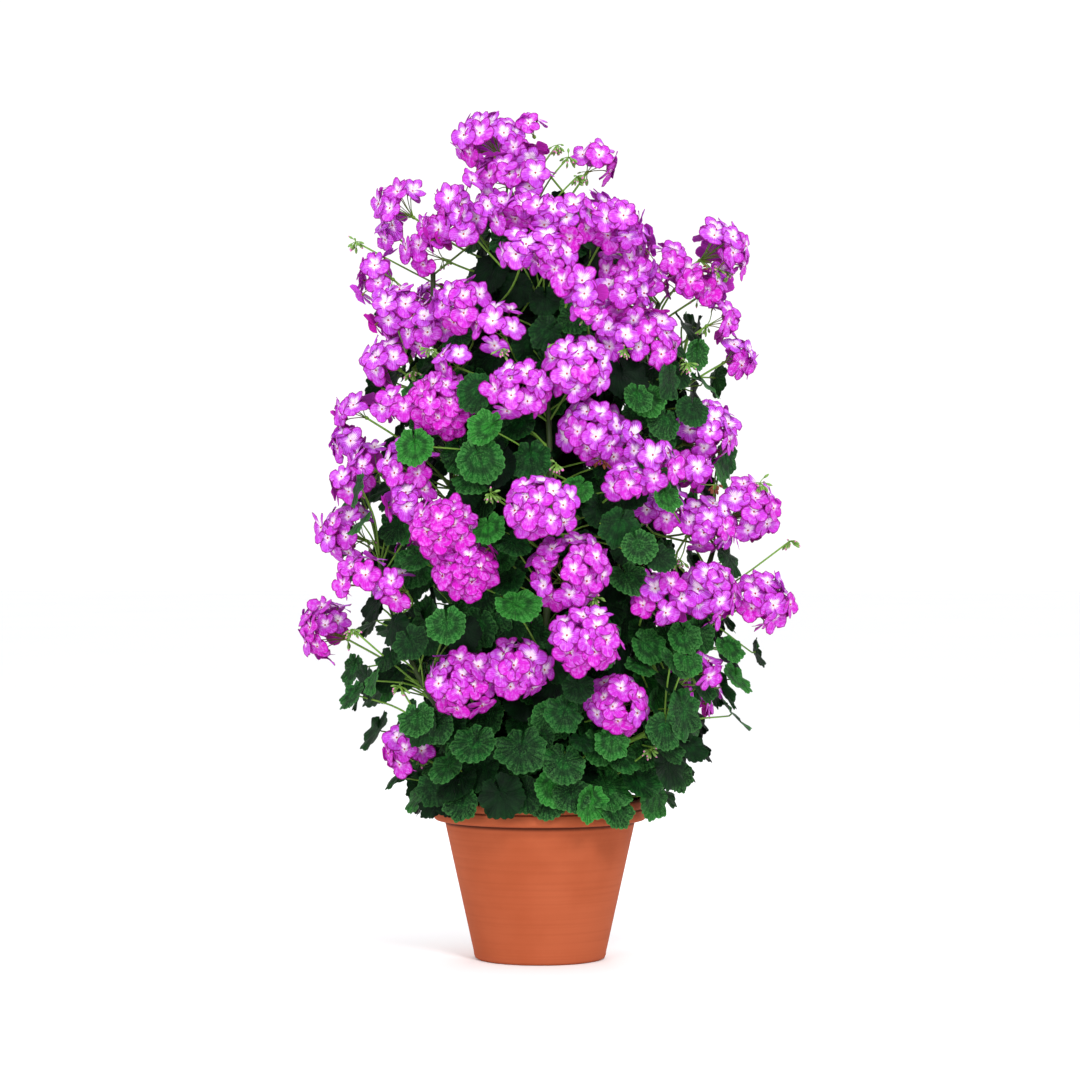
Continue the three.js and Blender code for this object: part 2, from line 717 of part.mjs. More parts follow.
// Blades are thin and shaped by their rim: [angle from the tip, reach, lift], the last two as
// parts of the radius. A leaf has scalloped lobes, pleats and a notch at its stalk.
function leafShape(lobes, step, notch) {
  const rim = [[-180, SINUS_REACH, 0]];
  for (let k = 0; k < lobes; k += 1) {
    const angle = (k - (lobes - 1) / 2) * step;
    const length = LEAF_REACH + LEAF_LENGTHEN * Math.cos(THREE.MathUtils.degToRad(angle));
    rim.push([angle, length, LOBE_RISE]);
    if (k < lobes - 1) rim.push([angle + step / 2, notch * length, -NOTCH_SINK]);
  }
  return { rim, crown: BLADE_HALF_THICKNESS, base: BLADE_HALF_THICKNESS, straight: lobes < 7 };
}
const LEAF_SHAPE = leafShape(7, 50, 0.88);
const PLAIN_LEAF_SHAPE = leafShape(5, 68, 0.94);

// A bud cluster is a thick star of hanging buds, with its rays bent down
const BUD_SHAPE = {
  rim: Array.from({ length: 2 * BUD_RAYS }, (_, k) => {
    return [-180 + (180 * k) / BUD_RAYS, ...(k % 2 ? [BUD_NOTCH, 0] : [1, -BUD_HANG])];
  }),
  crown: BUD_CROWN * BUD_RADIUS,
  base: BUD_BASE * BUD_RADIUS,
  straight: false,
};
const COLLAR = [-120, 0, 120];

// Adds a blade to a run at the end of a stalk, whose last ring opens into its underside
function addBlade(run, ring, { centre, normal, tip, radius }, stalkRadius, shape) {
  const { all, faces } = run;
  const { rim, crown, base } = shape;
  const side = normal.clone().cross(tip);
  const hub = centre.clone().addScaledVector(tip, -HUB_OFF * radius);
  const place = (angle, out, lift) => {
    const turn = THREE.MathUtils.degToRad(angle);
    return hub.clone()
      .addScaledVector(tip, out * Math.cos(turn))
      .addScaledVector(side, out * Math.sin(turn))
      .addScaledVector(normal, lift);
  };
  const top = all.length;
  all.push(place(0, 0, crown));
  for (const [angle, reach, lift] of rim) all.push(place(angle, radius * reach, radius * lift));
  const count = rim.length;
  rim.forEach((_, k) => faces.push([top, top + 1 + k, top + 1 + ((k + 1) % count)]));

  const collar = all.length;
  for (const angle of COLLAR) all.push(place(angle, stalkRadius, -base));
  let held = 0;
  for (let k = 0; k < count; k += 1) {
    const l = (k + 1) % count;
    const angle = l === 0 ? 180 : rim[l][0];
    faces.push([top + 1 + l, top + 1 + k, collar + held]);
    if (held < 2 && angle > (COLLAR[held] + COLLAR[held + 1]) / 2) {
      faces.push([top + 1 + l, collar + held, collar + held + 1]);
      held += 1;
    }
  }
  faces.push([top + 1, collar + 2, collar]);

  // The stalk's ring is turned to the collar's nearest corners
  const spread = (turn) => [0, 1, 2].reduce((sum, k) => {
    return sum + all[ring + k].distanceTo(all[collar + ((k + turn) % 3)]);
  }, 0);
  const turn = [0, 1, 2].reduce((best, k) => (spread(k) < spread(best) ? k : best));
  for (let k = 0; k < 3; k += 1) {
    const l = (k + 1) % 3;
    const [a, b] = [collar + ((k + turn) % 3), collar + ((l + turn) % 3)];
    faces.push([ring + k, ring + l, b], [ring + k, b, a]);
  }
}

// A stalk ends in a cap under its flower head
for (const head of heads) {
  const end = head.root.clone().addScaledVector(head.axis, -CLEARANCE);
  const site = sitesFor(end, FLOWER_STALK).find((place) => {
    const points = stalkPoints(place, end, head.axis);
    return points && stalkIsClear(place, points, STALK_RADIUS, head);
  });
  if (!site) continue;
  const points = stalkPoints(site, end, head.axis);
  const ring = sprout(site, points.slice(1), STALK_RADIUS);
  site.run.faces.push([ring, ring + 1, ring + 2]);
  site.used = true;
  keepStretches(site.run, points, points.map(() => STALK_RADIUS), false);
}

// Bud clusters stand at the end of stalks of their own
for (const [x, z] of BUDS) {
  const { centre } = seen(x, z, -surfaceDepth(x, z, BUD_RADIUS), BUD_RADIUS);
  const bud = { centre, normal: up, tip: vec(0, -1, 0), radius: BUD_RADIUS };
  const roomy = heads.every((head) => head.centre.distanceTo(centre) > head.radius + BUD_RADIUS + BUD_GAP);
  const site = roomy && sitesFor(centre, BUD_STALK).find((place) => {
    const points = bladeStalk(place, bud, BUD_SHAPE);
    return points && stalkIsClear(place, points, STALK_RADIUS, null);
  });
  if (site) growBlade(site, bud, bladeStalk(site, bud, BUD_SHAPE), STALK_RADIUS, BUD_SHAPE);
}

// A leaf can hang where its blade and its stalk clear all that is there already
function bladeIsClear(disc) {
  const side = Math.abs(disc.normal.z) < 0.9 ? up : vec(1, 0, 0);
  const u = disc.normal.clone().cross(side).normalize();
  const w = disc.normal.clone().cross(u);
  if (!ringPoints(disc.centre, u, w, disc.radius, 12).every(clearsPot)) return false;
  for (const head of heads) {
    if (pointToDisc(head.centre, disc) < head.radius + BLADE_GAP) return false;
  }
  for (const stretch of stretches) {
    if (stretchMeetsDisc(stretch.a, stretch.b, disc, BLADE_GAP + stretch.radius)) return false;
  }
  return !discs.some((other) => discsMeet(disc, other, BLADE_GAP));
}

function hangLeaf(leaf, shape) {
  if (!bladeIsClear(leaf)) return false;
  const hub = leaf.centre.clone().addScaledVector(leaf.tip, -HUB_OFF * leaf.radius);
  const site = sitesFor(hub, LEAF_STALK * leaf.radius).slice(0, SITE_TRIES).find((place) => {
    const points = bladeStalk(place, leaf, shape);
    return points && stalkIsClear(place, points, PETIOLE_RADIUS, null);
  });
  if (!site) return false;
  growBlade(site, leaf, bladeStalk(site, leaf, shape), PETIOLE_RADIUS, shape);
  return true;
}

// How a leaf is shaken: its lift, then the shares that turn its face and its tip, from -0.5 to 0.5
function drawTurns(random) {
  const lift = between(LEAF_LIFT, random());
  const [a, b, c, d, e, f] = Array.from({ length: 6 }, () => random() - 0.5);
  return { lift, face: vec(a, b, c), end: vec(d, e, f) };
}

// A leaf faces outward and a little up, with its tip down
function turnedLeaf(centre, radius, { lift, face, end }) {
  const outward = vec(centre.x, centre.y * LEAF_FRONTNESS, 0).normalize();
  const normal = outward.clone().addScaledVector(up, lift).addScaledVector(face, LEAF_SHAKE);
  normal.normalize();
  const tip = outward.clone().multiplyScalar(TIP_OUT).addScaledVector(up, -TIP_DROP);
  tip.addScaledVector(end, TIP_SHAKE);
  tip.addScaledVector(normal, -tip.dot(normal)).normalize();
  return { centre, normal, tip, radius };
}

const random = seeded(SEED);
for (const [x, z, radius] of FRONT_LEAVES) {
  const turns = drawTurns(random);
  for (let k = 0; k < FRONT_TRIES; k += 1) {
    const placed = seen(x, z, k * DEEPER - surfaceDepth(x, z, LEAF_SUNK * radius), radius);
    if (hangLeaf(turnedLeaf(placed.centre, placed.radius, turns), LEAF_SHAPE)) break;
  }
}
for (let i = 0; i < FILL_LEAVES; i += 1) {
  const z = FILL_LOWEST + FILL_SPAN * random() ** FILL_BIAS;
  const turn = 2 * Math.PI * random();
  const size = between(FILL_RADIUS, random());
  const share = between(FILL_OUT, random());
  const turns = drawTurns(random);
  const [wide, deep] = reachAt(z);
  for (let k = 0; k < FILL_TRIES; k += 1) {
    const out = share - FILL_INWARD * k;
    const centre = vec(out * wide * Math.cos(turn), out * deep * Math.sin(turn), z);
    if (hangLeaf(turnedLeaf(centre, size, turns), PLAIN_LEAF_SHAPE)) break;
  }
}

// A solid from points and outward triangles
function solidOf(points, faces) {
  const vertProperties = new Float32Array(points.flatMap((p) => [p.x, p.y, p.z]));
  const triVerts = new Uint32Array(faces.flat());
  return new wasm.Manifold(new wasm.Mesh({ numProp: 3, vertProperties, triVerts }));
}

function meshOf(name, solid, material) {
  const mesh = solid.getMesh();
  const geometry = new THREE.BufferGeometry();
  geometry.setAttribute('position', new THREE.BufferAttribute(mesh.vertProperties, 3));
  geometry.setIndex(new THREE.BufferAttribute(mesh.triVerts, 1));
  geometry.computeVertexNormals();
  const made = new THREE.Mesh(geometry, material);
  made.name = name;
  return made;
}

// The floret faces of a head lie as on a dodecahedron: one on top, five round it, five below
const TURN = 72;
const POLARS = [37.377, 79.188, 100.812, 142.623];

function direction(polar, turn) {
  const p = THREE.MathUtils.degToRad(polar);
  const t = THREE.MathUtils.degToRad(turn);
  return vec(Math.sin(p) * Math.cos(t), Math.sin(p) * Math.sin(t), Math.cos(p));
}
const CORNERS = POLARS.flatMap((polar, ring) => {
  return [0, 1, 2, 3, 4].map((k) => direction(polar, TURN * (ring < 2 ? k + 0.5 : k)));
});
const corner = (ring, k) => ring * 5 + ((k + 5) % 5);
const FACES = [[0, 1, 2, 3, 4].map((k) => corner(0, k))];
for (let k = 0; k < 5; k += 1) {
  FACES.push([corner(0, k), corner(0, k - 1), corner(1, k - 1), corner(2, k), corner(1, k)]);
}
for (let k = 0; k < 5; k += 1) {
  FACES.push([corner(1, k), corner(2, k), corner(3, k), corner(3, k + 1), corner(2, k + 1)]);
}
const HEAD_KINDS = {
  ball: { faces: FACES, top: up },
  dome: { faces: FACES.slice(0, 6), top: up },
  trio: { faces: [FACES[0], FACES[1], FACES[2]], top: CORNERS[corner(0, 0)] },
};

function headSolid(head, random) {
  const { faces, top } = HEAD_KINDS[head.kind];
  const turn = new THREE.Quaternion().setFromUnitVectors(top, head.axis);
  turn.multiply(new THREE.Quaternion().setFromAxisAngle(top, 2 * Math.PI * random()));
  const at = (way, depth) => {
    return way.clone().applyQuaternion(turn).multiplyScalar(head.radius * depth).add(head.centre);
  };
  const all = [head.root];
  const used = new Map();
  const keep = (index) => {
    if (!used.has(index)) {
      used.set(index, all.length);
      all.push(at(CORNERS[index], GAP_DEPTH));
    }
    return used.get(index);
  };
  const triangles = [];
  const open = new Map();
  for (const face of faces) {
    const middle = face.reduce((sum, k) => sum.add(CORNERS[k]), vec(0, 0, 0)).normalize();
    const eye = all.length;
    all.push(at(middle, EYE_DEPTH));
    face.forEach((from, k) => {
      const to = face[(k + 1) % 5];
      const p = keep(from);
      const q = keep(to);
      const petal = mix(CORNERS[from], CORNERS[to], between(PETAL_PLACE, random()));
      const tip = all.length;
      all.push(at(petal.lerp(middle, PETAL_INWARD).normalize(), 1 - PETAL_DROOP * random()));
      triangles.push([eye, p, tip], [eye, tip, q], [p, q, tip]);
      if (open.has(`${to}-${from}`)) open.delete(`${to}-${from}`);
      else open.set(`${from}-${to}`, [q, p, 0]);
    });
  }
  triangles.push(...open.values());
  return solidOf(all, triangles);
}

// Where fusing leaves a loose scrap, only the main body is kept
function wholeOf(solid) {
  return solid.decompose().reduce((best, piece) => (piece.volume() > best.volume() ? piece : best));
}

// Heads that grow into each other are held together by a slim spindle from middle to middle
function fusedPairs(own) {
  return own.slice(1).map((head, i) => {
    const apart = (other) => other.centre.distanceTo(head.centre) / (other.radius + head.radius);
    const near = own.slice(0, i + 1).reduce((best, other) => (apart(other) < apart(best) ? other : best));
    return [near, head];
  });
}

function spindleSolid(a, b) {
  const along = b.centre.clone().sub(a.centre).normalize();
  const u = along.clone().cross(a.axis).normalize();
  const w = along.clone().cross(u);
  const middle = mix(a.centre, b.centre, a.radius / (a.radius + b.radius));
  const out = SPINDLE * Math.min(a.radius, b.radius);
  const all = [a.centre, b.centre, ...ringPoints(middle, u, w, out, 3)];
  return solidOf(all, [[0, 3, 2], [0, 4, 3], [0, 2, 4], [1, 2, 3], [1, 3, 4], [1, 4, 2]]);
}

// The pot: a lathed shell with a stepped rim and drainage holes in its floor
function latheSolid(profile, relief) {
  const faces = [];
  const all = [vec(0, 0, profile[0][1])];
  const inner = profile.slice(1, -1);
  inner.forEach(([radius, z], r) => {
    for (let k = 0; k < POT_SIDES; k += 1) {
      const turn = (2 * Math.PI * k) / POT_SIDES;
      all.push(vec(radius * Math.cos(turn), radius * Math.sin(turn), z + relief(r, k)));
    }
    const first = 1 + (r - 1) * POT_SIDES;
    if (r > 0) faces.push(...band(first, first + POT_SIDES, POT_SIDES));
  });
  const end = all.length;
  all.push(vec(0, 0, profile[profile.length - 1][1]));
  for (let k = 0; k < POT_SIDES; k += 1) {
    const l = (k + 1) % POT_SIDES;
    faces.push([0, 1 + l, 1 + k], [end, end - POT_SIDES + k, end - POT_SIDES + l]);
  }
  return solidOf(all, faces);
}

const RIM_FOOT = POT_HEIGHT - RIM_HEIGHT;
const GROOVE = POT_HEIGHT - RIM_STEP;
const UNDER_RIM = BODY_FOOT_RADIUS + BODY_TAPER * RIM_FOOT;
const INNER_FOOT = BODY_FOOT_RADIUS + BODY_TAPER * FLOOR - WALL;
const INNER_NECK = UNDER_RIM - WALL;

const POT_PROFILE = [
  [0, 0],
  [FOOT_RADIUS, 0],
  [FOOT_RADIUS + 6, 2.5],
  [BODY_FOOT_RADIUS + BODY_TAPER * 13, 13],
  [UNDER_RIM, RIM_FOOT],
  [RIM_RADIUS - 4, RIM_FOOT],
  [RIM_RADIUS, RIM_FOOT + 5],
  [RIM_RADIUS, GROOVE - 2],
  [RIM_RADIUS - GROOVE_DEPTH, GROOVE],
  [RIM_RADIUS - 0.6, GROOVE + 2],
  [RIM_RADIUS - 0.6, POT_HEIGHT - 2.5],
  [RIM_RADIUS - 3.5, POT_HEIGHT],
  [MOUTH_RADIUS, POT_HEIGHT],
  [INNER_NECK, RIM_FOOT],
  [INNER_FOOT, FLOOR],
  [0, FLOOR],
];

function uprightSolid(x, y, low, high, radius, sides) {
  const { all, faces } = tube([vec(x, y, low), vec(x, y, high)], [radius, radius], sides);
  return solidOf(all, faces);
}

function potSolid() {
  const holes = Array.from({ length: DRAINS }, (_, k) => {
    const turn = (2 * Math.PI * (k + 0.5)) / DRAINS;
    const [x, y] = [DRAIN_CIRCLE * Math.cos(turn), DRAIN_CIRCLE * Math.sin(turn)];
    return uprightSolid(x, y, -5, FLOOR + 5, DRAIN_RADIUS, DRAIN_SIDES);
  });
  return latheSolid(POT_PROFILE, () => 0).subtract(wasm.Manifold.union(holes));
}

// The soil fills the pot to a little under the rim, a bit uneven on top, with a hole for each stem
function soilSolid(random) {
  const share = (SOIL_EDGE - RIM_FOOT) / (POT_HEIGHT - RIM_FOOT);
  const edge = INNER_NECK + (MOUTH_RADIUS - INNER_NECK) * share - 2 * CLEARANCE;
  const profile = [
    [0, FLOOR + CLEARANCE],
    [INNER_FOOT - 2 * CLEARANCE, FLOOR + CLEARANCE],
    [INNER_NECK - 2 * CLEARANCE, RIM_FOOT],
    [edge, SOIL_EDGE],
    [SOIL_RING[0] * edge, SOIL_EDGE + SOIL_RING[1] * SOIL_CROWN],
    [0, SOIL_EDGE + SOIL_CROWN],
  ];
  const relief = (r) => (r < 3 ? 0 : SOIL_RELIEF * (random() - 0.5) * 2);
  const holes = Object.values(STEMS).map(([main]) => {
    const [x, y] = main[1];
    return uprightSolid(x, y, STEM_FOOT - CLEARANCE, STEM_HOLE_TOP, STEM_HOLE_RADIUS, HOLE_SIDES);
  });
  return latheSolid(profile, relief).subtract(wasm.Manifold.union(holes));
}

const terracotta = new THREE.MeshStandardMaterial({ color: 0xca6747, roughness: 0.85, metalness: 0 });
const earth = new THREE.MeshStandardMaterial({ color: 0x3a2a20, roughness: 1, metalness: 0 });
const foliage = new THREE.MeshStandardMaterial({ color: 0x2c5f30, roughness: 0.6, metalness: 0 });
const petals = new THREE.MeshStandardMaterial({ color: 0xd74be1, roughness: 0.7, metalness: 0 });

const geranium = new THREE.Group();
geranium.add(meshOf('pot', potSolid(), terracotta));
geranium.add(meshOf('soil', soilSolid(seeded(SEED + 1)), earth));

for (const node of Object.keys(STEMS)) {
  const own = runs.filter((run) => run.node === node);
  const solids = own.map((run) => solidOf(run.all, run.faces.filter((face) => face)));
  geranium.add(meshOf(node, wasm.Manifold.union(solids), foliage));
}

const headRandom = seeded(SEED + 2);
for (const node of new Set(heads.map((head) => head.node))) {
  const own = heads.filter((head) => head.node === node);
  const solids = own.map((head) => headSolid(head, headRandom));
  for (const [a, b] of fusedPairs(own)) solids.push(spindleSolid(a, b));
  geranium.add(meshOf(node, wholeOf(wasm.Manifold.union(solids)), petals));
}

export default geranium;
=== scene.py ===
import collections
import functools
import itertools
import math

import bpy
import mathutils
import numpy as np
from numpy.linalg import norm
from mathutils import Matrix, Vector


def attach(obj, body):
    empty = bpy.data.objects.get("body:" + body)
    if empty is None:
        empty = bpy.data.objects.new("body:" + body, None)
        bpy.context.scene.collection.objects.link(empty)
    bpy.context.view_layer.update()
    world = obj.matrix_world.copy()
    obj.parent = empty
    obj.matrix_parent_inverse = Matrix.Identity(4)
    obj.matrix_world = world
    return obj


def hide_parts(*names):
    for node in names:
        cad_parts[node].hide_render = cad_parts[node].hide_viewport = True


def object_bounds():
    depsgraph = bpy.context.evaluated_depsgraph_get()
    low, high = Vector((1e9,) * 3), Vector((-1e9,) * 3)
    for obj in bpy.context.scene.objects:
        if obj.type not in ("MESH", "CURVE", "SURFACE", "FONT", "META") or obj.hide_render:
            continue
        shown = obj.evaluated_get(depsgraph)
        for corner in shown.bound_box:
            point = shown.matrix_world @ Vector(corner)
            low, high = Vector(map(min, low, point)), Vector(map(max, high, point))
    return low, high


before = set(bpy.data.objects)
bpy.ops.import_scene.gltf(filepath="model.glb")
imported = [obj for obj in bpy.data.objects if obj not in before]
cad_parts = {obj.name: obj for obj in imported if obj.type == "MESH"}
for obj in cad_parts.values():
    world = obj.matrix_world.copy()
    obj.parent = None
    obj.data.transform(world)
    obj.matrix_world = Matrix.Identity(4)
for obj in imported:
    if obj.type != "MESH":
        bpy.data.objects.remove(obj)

cad_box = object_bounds()

# A tall bushy geranium in flower, in a terracotta pot. Lengths are millimetres and +Z is up.
# The plant's front faces -Y, and the origin is on the pot's axis, at its foot.
MM = 0.001
UP = np.array([0.0, 0.0, 1.0])
GOLDEN_PART = 0.618034
SEED = 20250
SHARP_ANGLE = 75

# Pot
POT_HEIGHT = 264
FOOT_RADIUS = 100
BODY_FOOT_RADIUS = 106.8
BODY_TAPER = 0.2215
RIM_RADIUS = 175
RIM_HEIGHT = 35
RIM_STEP = 15
GROOVE_DEPTH = 2.4
WALL = 11
FLOOR = 16
MOUTH_RADIUS = 160
POT_SIDES = 144
DRAIN_RADIUS = 11
DRAIN_CIRCLE = 58
DRAINS = 3
DRAIN_SIDES = 28
# Painted shade lines where the rim meets the body and in the rim's groove: from, darkest, to, share
PAINTED_SHADE_LINES = [(220, 226.6, 230, 0.95), (246, 248.8, 251.6, 0.7)]

# Soil
SOIL_EDGE = 235
SOIL_CROWN = 8
SOIL_SIDES = 120
SOIL_RINGS = 26
SOIL_WAVES = 26
SOIL_WAVE_HEIGHT = 0.42
SOIL_SINK = 1.2
CRUMBS = 420
CLEARANCE = 0.4

# Stems, stalks and leaves. A leaf's hub lies behind its middle, by this part of its radius.
STEM_FOOT = 195
STEM_TIP_RADIUS = 3.9
SIDE_STEM_RADIUS = 5
STALK_RADIUS = 1.8
PETIOLE_RADIUS = 1.6
HUB_OFF = 0.25
# Steps along a stem: as long as the solids' own, and the fine ones of the pieces made here
STEM_STEP = 88
FINE_STEP = 24

# Where the camera stands. What it sees at (x, z) in the upright plane through the pot's axis
# is moved along the line of sight to its own depth.
EYE_DISTANCE = 5500
EYE_HEIGHT = 690
LENS = 111

# Half the plant's width, and how far it reaches towards the front, at each height
REACH = np.array([
    [250, 205, 200], [340, 290, 235], [430, 330, 260], [590, 385, 285], [750, 370, 280],
    [900, 330, 255], [1080, 300, 230], [1220, 250, 190], [1290, 140, 110], [1390, 70, 60],
])

# Each leafy stem's main run and side runs, as points, with the radius at its foot. A main run also
# goes straight down from its first point to the stem's foot.
STEMS = {
    "stem_crown": [
        [7, (0, 0, 262), (8, 6, 430), (-6, 0, 700), (-26, 6, 960), (-36, -6, 1130), (-42, -10, 1255)],
    ],
    "stem_left": [
        [6.5, (-48, -12, 262), (-78, -22, 420), (-122, -34, 620), (-150, -40, 850), (-172, -30, 1020),
         (-176, -24, 1130)],
        [4, (-150, -40, 850), (-190, -30, 930), (-222, -18, 1010)],
    ],
    "stem_right": [
        [6.5, (46, 8, 262), (84, 2, 420), (128, -12, 620), (152, -22, 850), (172, -20, 1000),
         (196, -16, 1080)],
        [4, (152, -22, 850), (198, -10, 910), (236, 0, 990)],
    ],
    "stem_front": [
        [6.5, (8, -50, 262), (2, -104, 400), (12, -150, 600), (16, -154, 800), (10, -136, 960),
         (2, -112, 1070)],
    ],
    "stem_low_left": [
        [6, (-46, -56, 262), (-112, -92, 350), (-186, -100, 450), (-236, -76, 560), (-262, -44, 650)],
        [4, (-112, -92, 350), (-160, -132, 380), (-196, -140, 400)],
    ],
    "stem_low_right": [
        [6, (54, -50, 262), (118, -88, 350), (196, -100, 460), (252, -76, 580), (286, -44, 680)],
        [4, (118, -88, 350), (166, -130, 376), (200, -140, 390)],
    ],
    "stem_back_left": [
        [6.5, (-36, 50, 262), (-84, 112, 400), (-124, 152, 620), (-118, 150, 850), (-88, 128, 1030)],
    ],
    "stem_back_right": [
        [6.5, (40, 52, 262), (92, 114, 400), (134, 146, 620), (126, 142, 850), (90, 122, 1010)],
    ],
}

# Flower heads on the plant's front and sides: x, z, radius, and for some how far behind the front.
# Heads that grow into each other are listed together.
FRONT_BLOOMS = [
    [(-89, 1352, 50), (2, 1377, 30), (-27, 1345, 32, 20)],
    [(-61, 1289, 35), (-13, 1284, 34)],
    [(92, 1312, 35)],
    [(-234, 1243, 43), (-246, 1196, 26, 20)],
    [(-173, 1208, 27, 30), (-178, 1165, 37, 40)],
    [(-140, 1246, 27), (-128, 1212, 32), (-81, 1230, 37), (-33, 1233, 35)],
    [(12, 1227, 35), (59, 1222, 35), (121, 1215, 40)],
    [(-31, 1164, 37), (20, 1165, 34)],
    [(129, 1139, 33), (135, 1090, 46)],
    [(54, 1114, 33), (81, 1068, 28)],
    [(187, 1113, 28), (210, 1149, 33), (238, 1111, 30), (277, 1099, 31), (294, 1053, 34)],
    [(296, 1170, 50)],
    [(-263, 1131, 37), (-234, 1073, 41), (-182, 1035, 46)],
    [(-130, 1081, 41), (-66, 1040, 50)],
    [(-256, 984, 40)],
    [(-145, 984, 29), (-160, 913, 54), (-236, 913, 34)],
    [(-305, 901, 34), (-317, 852, 33), (-284, 810, 38), (-314, 784, 32)],
    [(-218, 814, 45), (-213, 756, 40)],
    [(-319, 705, 48)],
    [(-154, 710, 54), (-121, 637, 50)],
    [(-3, 744, 60)],
    [(-35, 941, 48)],
    [(63, 974, 52)],
    [(83, 867, 54), (139, 848, 34)],
    [(125, 1024, 31), (193, 1017, 45)],
    [(142, 786, 35), (196, 812, 36)],
    [(322, 992, 35)],
    [(274, 868, 56), (251, 806, 34, 20)],
    [(201, 743, 40, 30), (274, 713, 51), (350, 743, 51)],
    [(-291, 624, 46), (-234, 614, 34)],
    [(-352, 543, 51)],
    [(-132, 454, 59), (-40, 482, 50)],
    [(-220, 345, 43)],
    [(46, 640, 63)],
    [(74, 525, 59)],
    [(125, 418, 51)],
    [(196, 593, 45), (284, 606, 56), (365, 594, 51)],
    [(264, 474, 31)],
]
# How much of their difference in depth the heads of a group keep, and how far apart they may stand
# then, as a part of both their radii
GROUP_DEPTH_SHARE = 0.4
FUSED_APART = 0.9

# Heads on the back stand in pairs that climb it, one after another round a wide arc
BACK_PAIRS = 11
BACK_LOWEST = 440
BACK_RISE = 74
BACK_RADIUS = (46, 38)
BACK_FIRST_TURN = 22
BACK_ARC = 136
BACK_REACH = 0.94
BACK_PAIR_STEP = (44, 52)

# Heads of each kind, the largest first: the radius they start at, how deep the stalk comes in and how
# far the florets stand out, as parts of a head's own radius, and how far round its axis they reach
HeadKind = collections.namedtuple("HeadKind", "least root_depth swell arc")
HEAD_KINDS = [HeadKind(56, 0.84, 0.93, 128), HeadKind(39, 0.74, 1, 112), HeadKind(0, 0.6, 1.08, 104)]
# Heads face outward and up, and more so in the crown
HEAD_LIFT = 0.5
CROWN_FROM = 1150
CROWN_LIFT_RUN = 300

# Heads that belong to different groups are pushed apart, and away from the stems
SETTLE_ROUNDS = 400
SETTLE_SPACE = 1.02
SETTLE_GAP = 2.5
HEAD_PUSH = 0.3
STEM_GAP = 9
STEM_PUSH = 0.6

# Florets in a head: how far their petals reach, at most and as a part of the head's radius, and how
# far apart they stand, packed as hexagons are
FLORET_REACH = 23.3
FLORET_SHARE = 0.74
FLORET_SPACE = 36
HEXAGON_SHARE = 0.866
PEDICEL_RADIUS = 0.75
# How much their ways out and their faces are turned at random, the range of their sizes and of their
# distances, and how much of another head's radius stays free of them
WAY_SPREAD = 0.075
FACE_SPREAD = 0.17
FLORET_SIZES = (0.88, 1.1)
FLORET_DISTANCES = (0.87, 1.06)
FREE_SHARE = 0.78
# Heads whose florets stand closer than usual, by their (x, z)
DENSE_HEADS = [(-160, 913), (-154, 710), (-121, 637)]
DENSE_SPACE = 0.84
# Heads with a wider space between their florets and none below
LOOSE_HEADS = [(-291, 624), (-66, 1040), (-178, 1165)]
LOOSE_SPACE = 1.12
LOOSE_ARC = 84
# Heads with a gap among their florets, towards the front
OPEN_HEADS = [(46, 640), (74, 525)]
GAP_SIDE = (-0.2, -1, 0.05)
GAP_ANGLE = 13
# Outward is this much more forward or back than straight out from the axis, for heads and for leaves
HEAD_OUTWARD = 1.3
LEAF_OUTWARD = 1.8
# How much a floret turns outward from the plant, and how far its front pulls that outward way
OUTWARD_LEAN = 0.45
LIGHT_PULL = -140
# A floret's tone, from 0 for pale to 1 for deep, in most heads and in the dense ones. It grows by this
# much towards a head's underside, as painted shade, and below this height by this much for each millimetre.
TONES = (0, 0.75)
DENSE_TONES = (0.7, 1)
UNDERSIDE_SHADE = 0.3
DEEP_BELOW = 900
DEEPENING = 0.0006

# Single florets and tufts of buds that stand out of the nearest head, as seen at (x, z)
LOOSE_FLORETS = [(-102, 1301), (-112, 1284), (-294, 1094), (-272, 1045), (-251, 743), (-83, 677),
                 (150, 1192), (168, 1170), (138, 1226), (163, 1214)]
BUD_TUFTS = [(-182, 1004), (-210, 967), (-64, 1004), (28, 1015), (140, 1004), (-201, 380),
             (363, 784), (91, 594), (231, 657), (289, 1139), (314, 1131)]
SPENT_TUFTS = [(102, 822), (264, 1136), (289, 781)]
# Tufts on tall stalks at the top
TALL_TUFTS = [(28, 1342), (47, 1322), (61, 1290)]
TALL_STALK = 150
TALL_BEND = (-6, -8, 10)
# The upper heads run together, with florets in what gaps there are
CARPET_FROM = 985
CARPET_GAP = 24
CARPET_FLORETS = 3

# A bud's length, and its radius at each share of it
BUD_LENGTH = 11
BUD_PROFILE = [(0, 0.5), (0.18, 1.5), (0.5, 2.2), (0.8, 1.6), (1, 0.35)]

# Leaves: round, with a notch at the stalk, seven shallow lobes, rounded teeth and soft pleats
LOBES = 7
LOBE_STEP = 50
TEETH = 3
LOBE_DEPTHS = [0.05, 0.09, 0.14]
TOOTH_DEPTH = 0.06
STEPS_PER_TOOTH = 3
PLEAT = 0.065
LEAF_HALF_THICKNESS = 0.35
# A leaf's cup, wave and bend, as their means and spreads, and the height of the ripple round its rim
LEAF_CURVES = ((0.04, 0, 0), (0.09, 0.07, 0.09))
RIPPLE = 0.035
SINUS = 0.2
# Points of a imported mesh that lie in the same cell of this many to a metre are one
CELLS_PER_METRE = 20000
# A packed blade: its tip's reach and lift, the lobes of a fan with so many rim points, and the least
# size of a leaf
TIP_REACH = 1.22
LOBE_LIFT = 0.1
RIM_POINTS = {14: 7, 10: 5}
LEAST_LEAF = 20

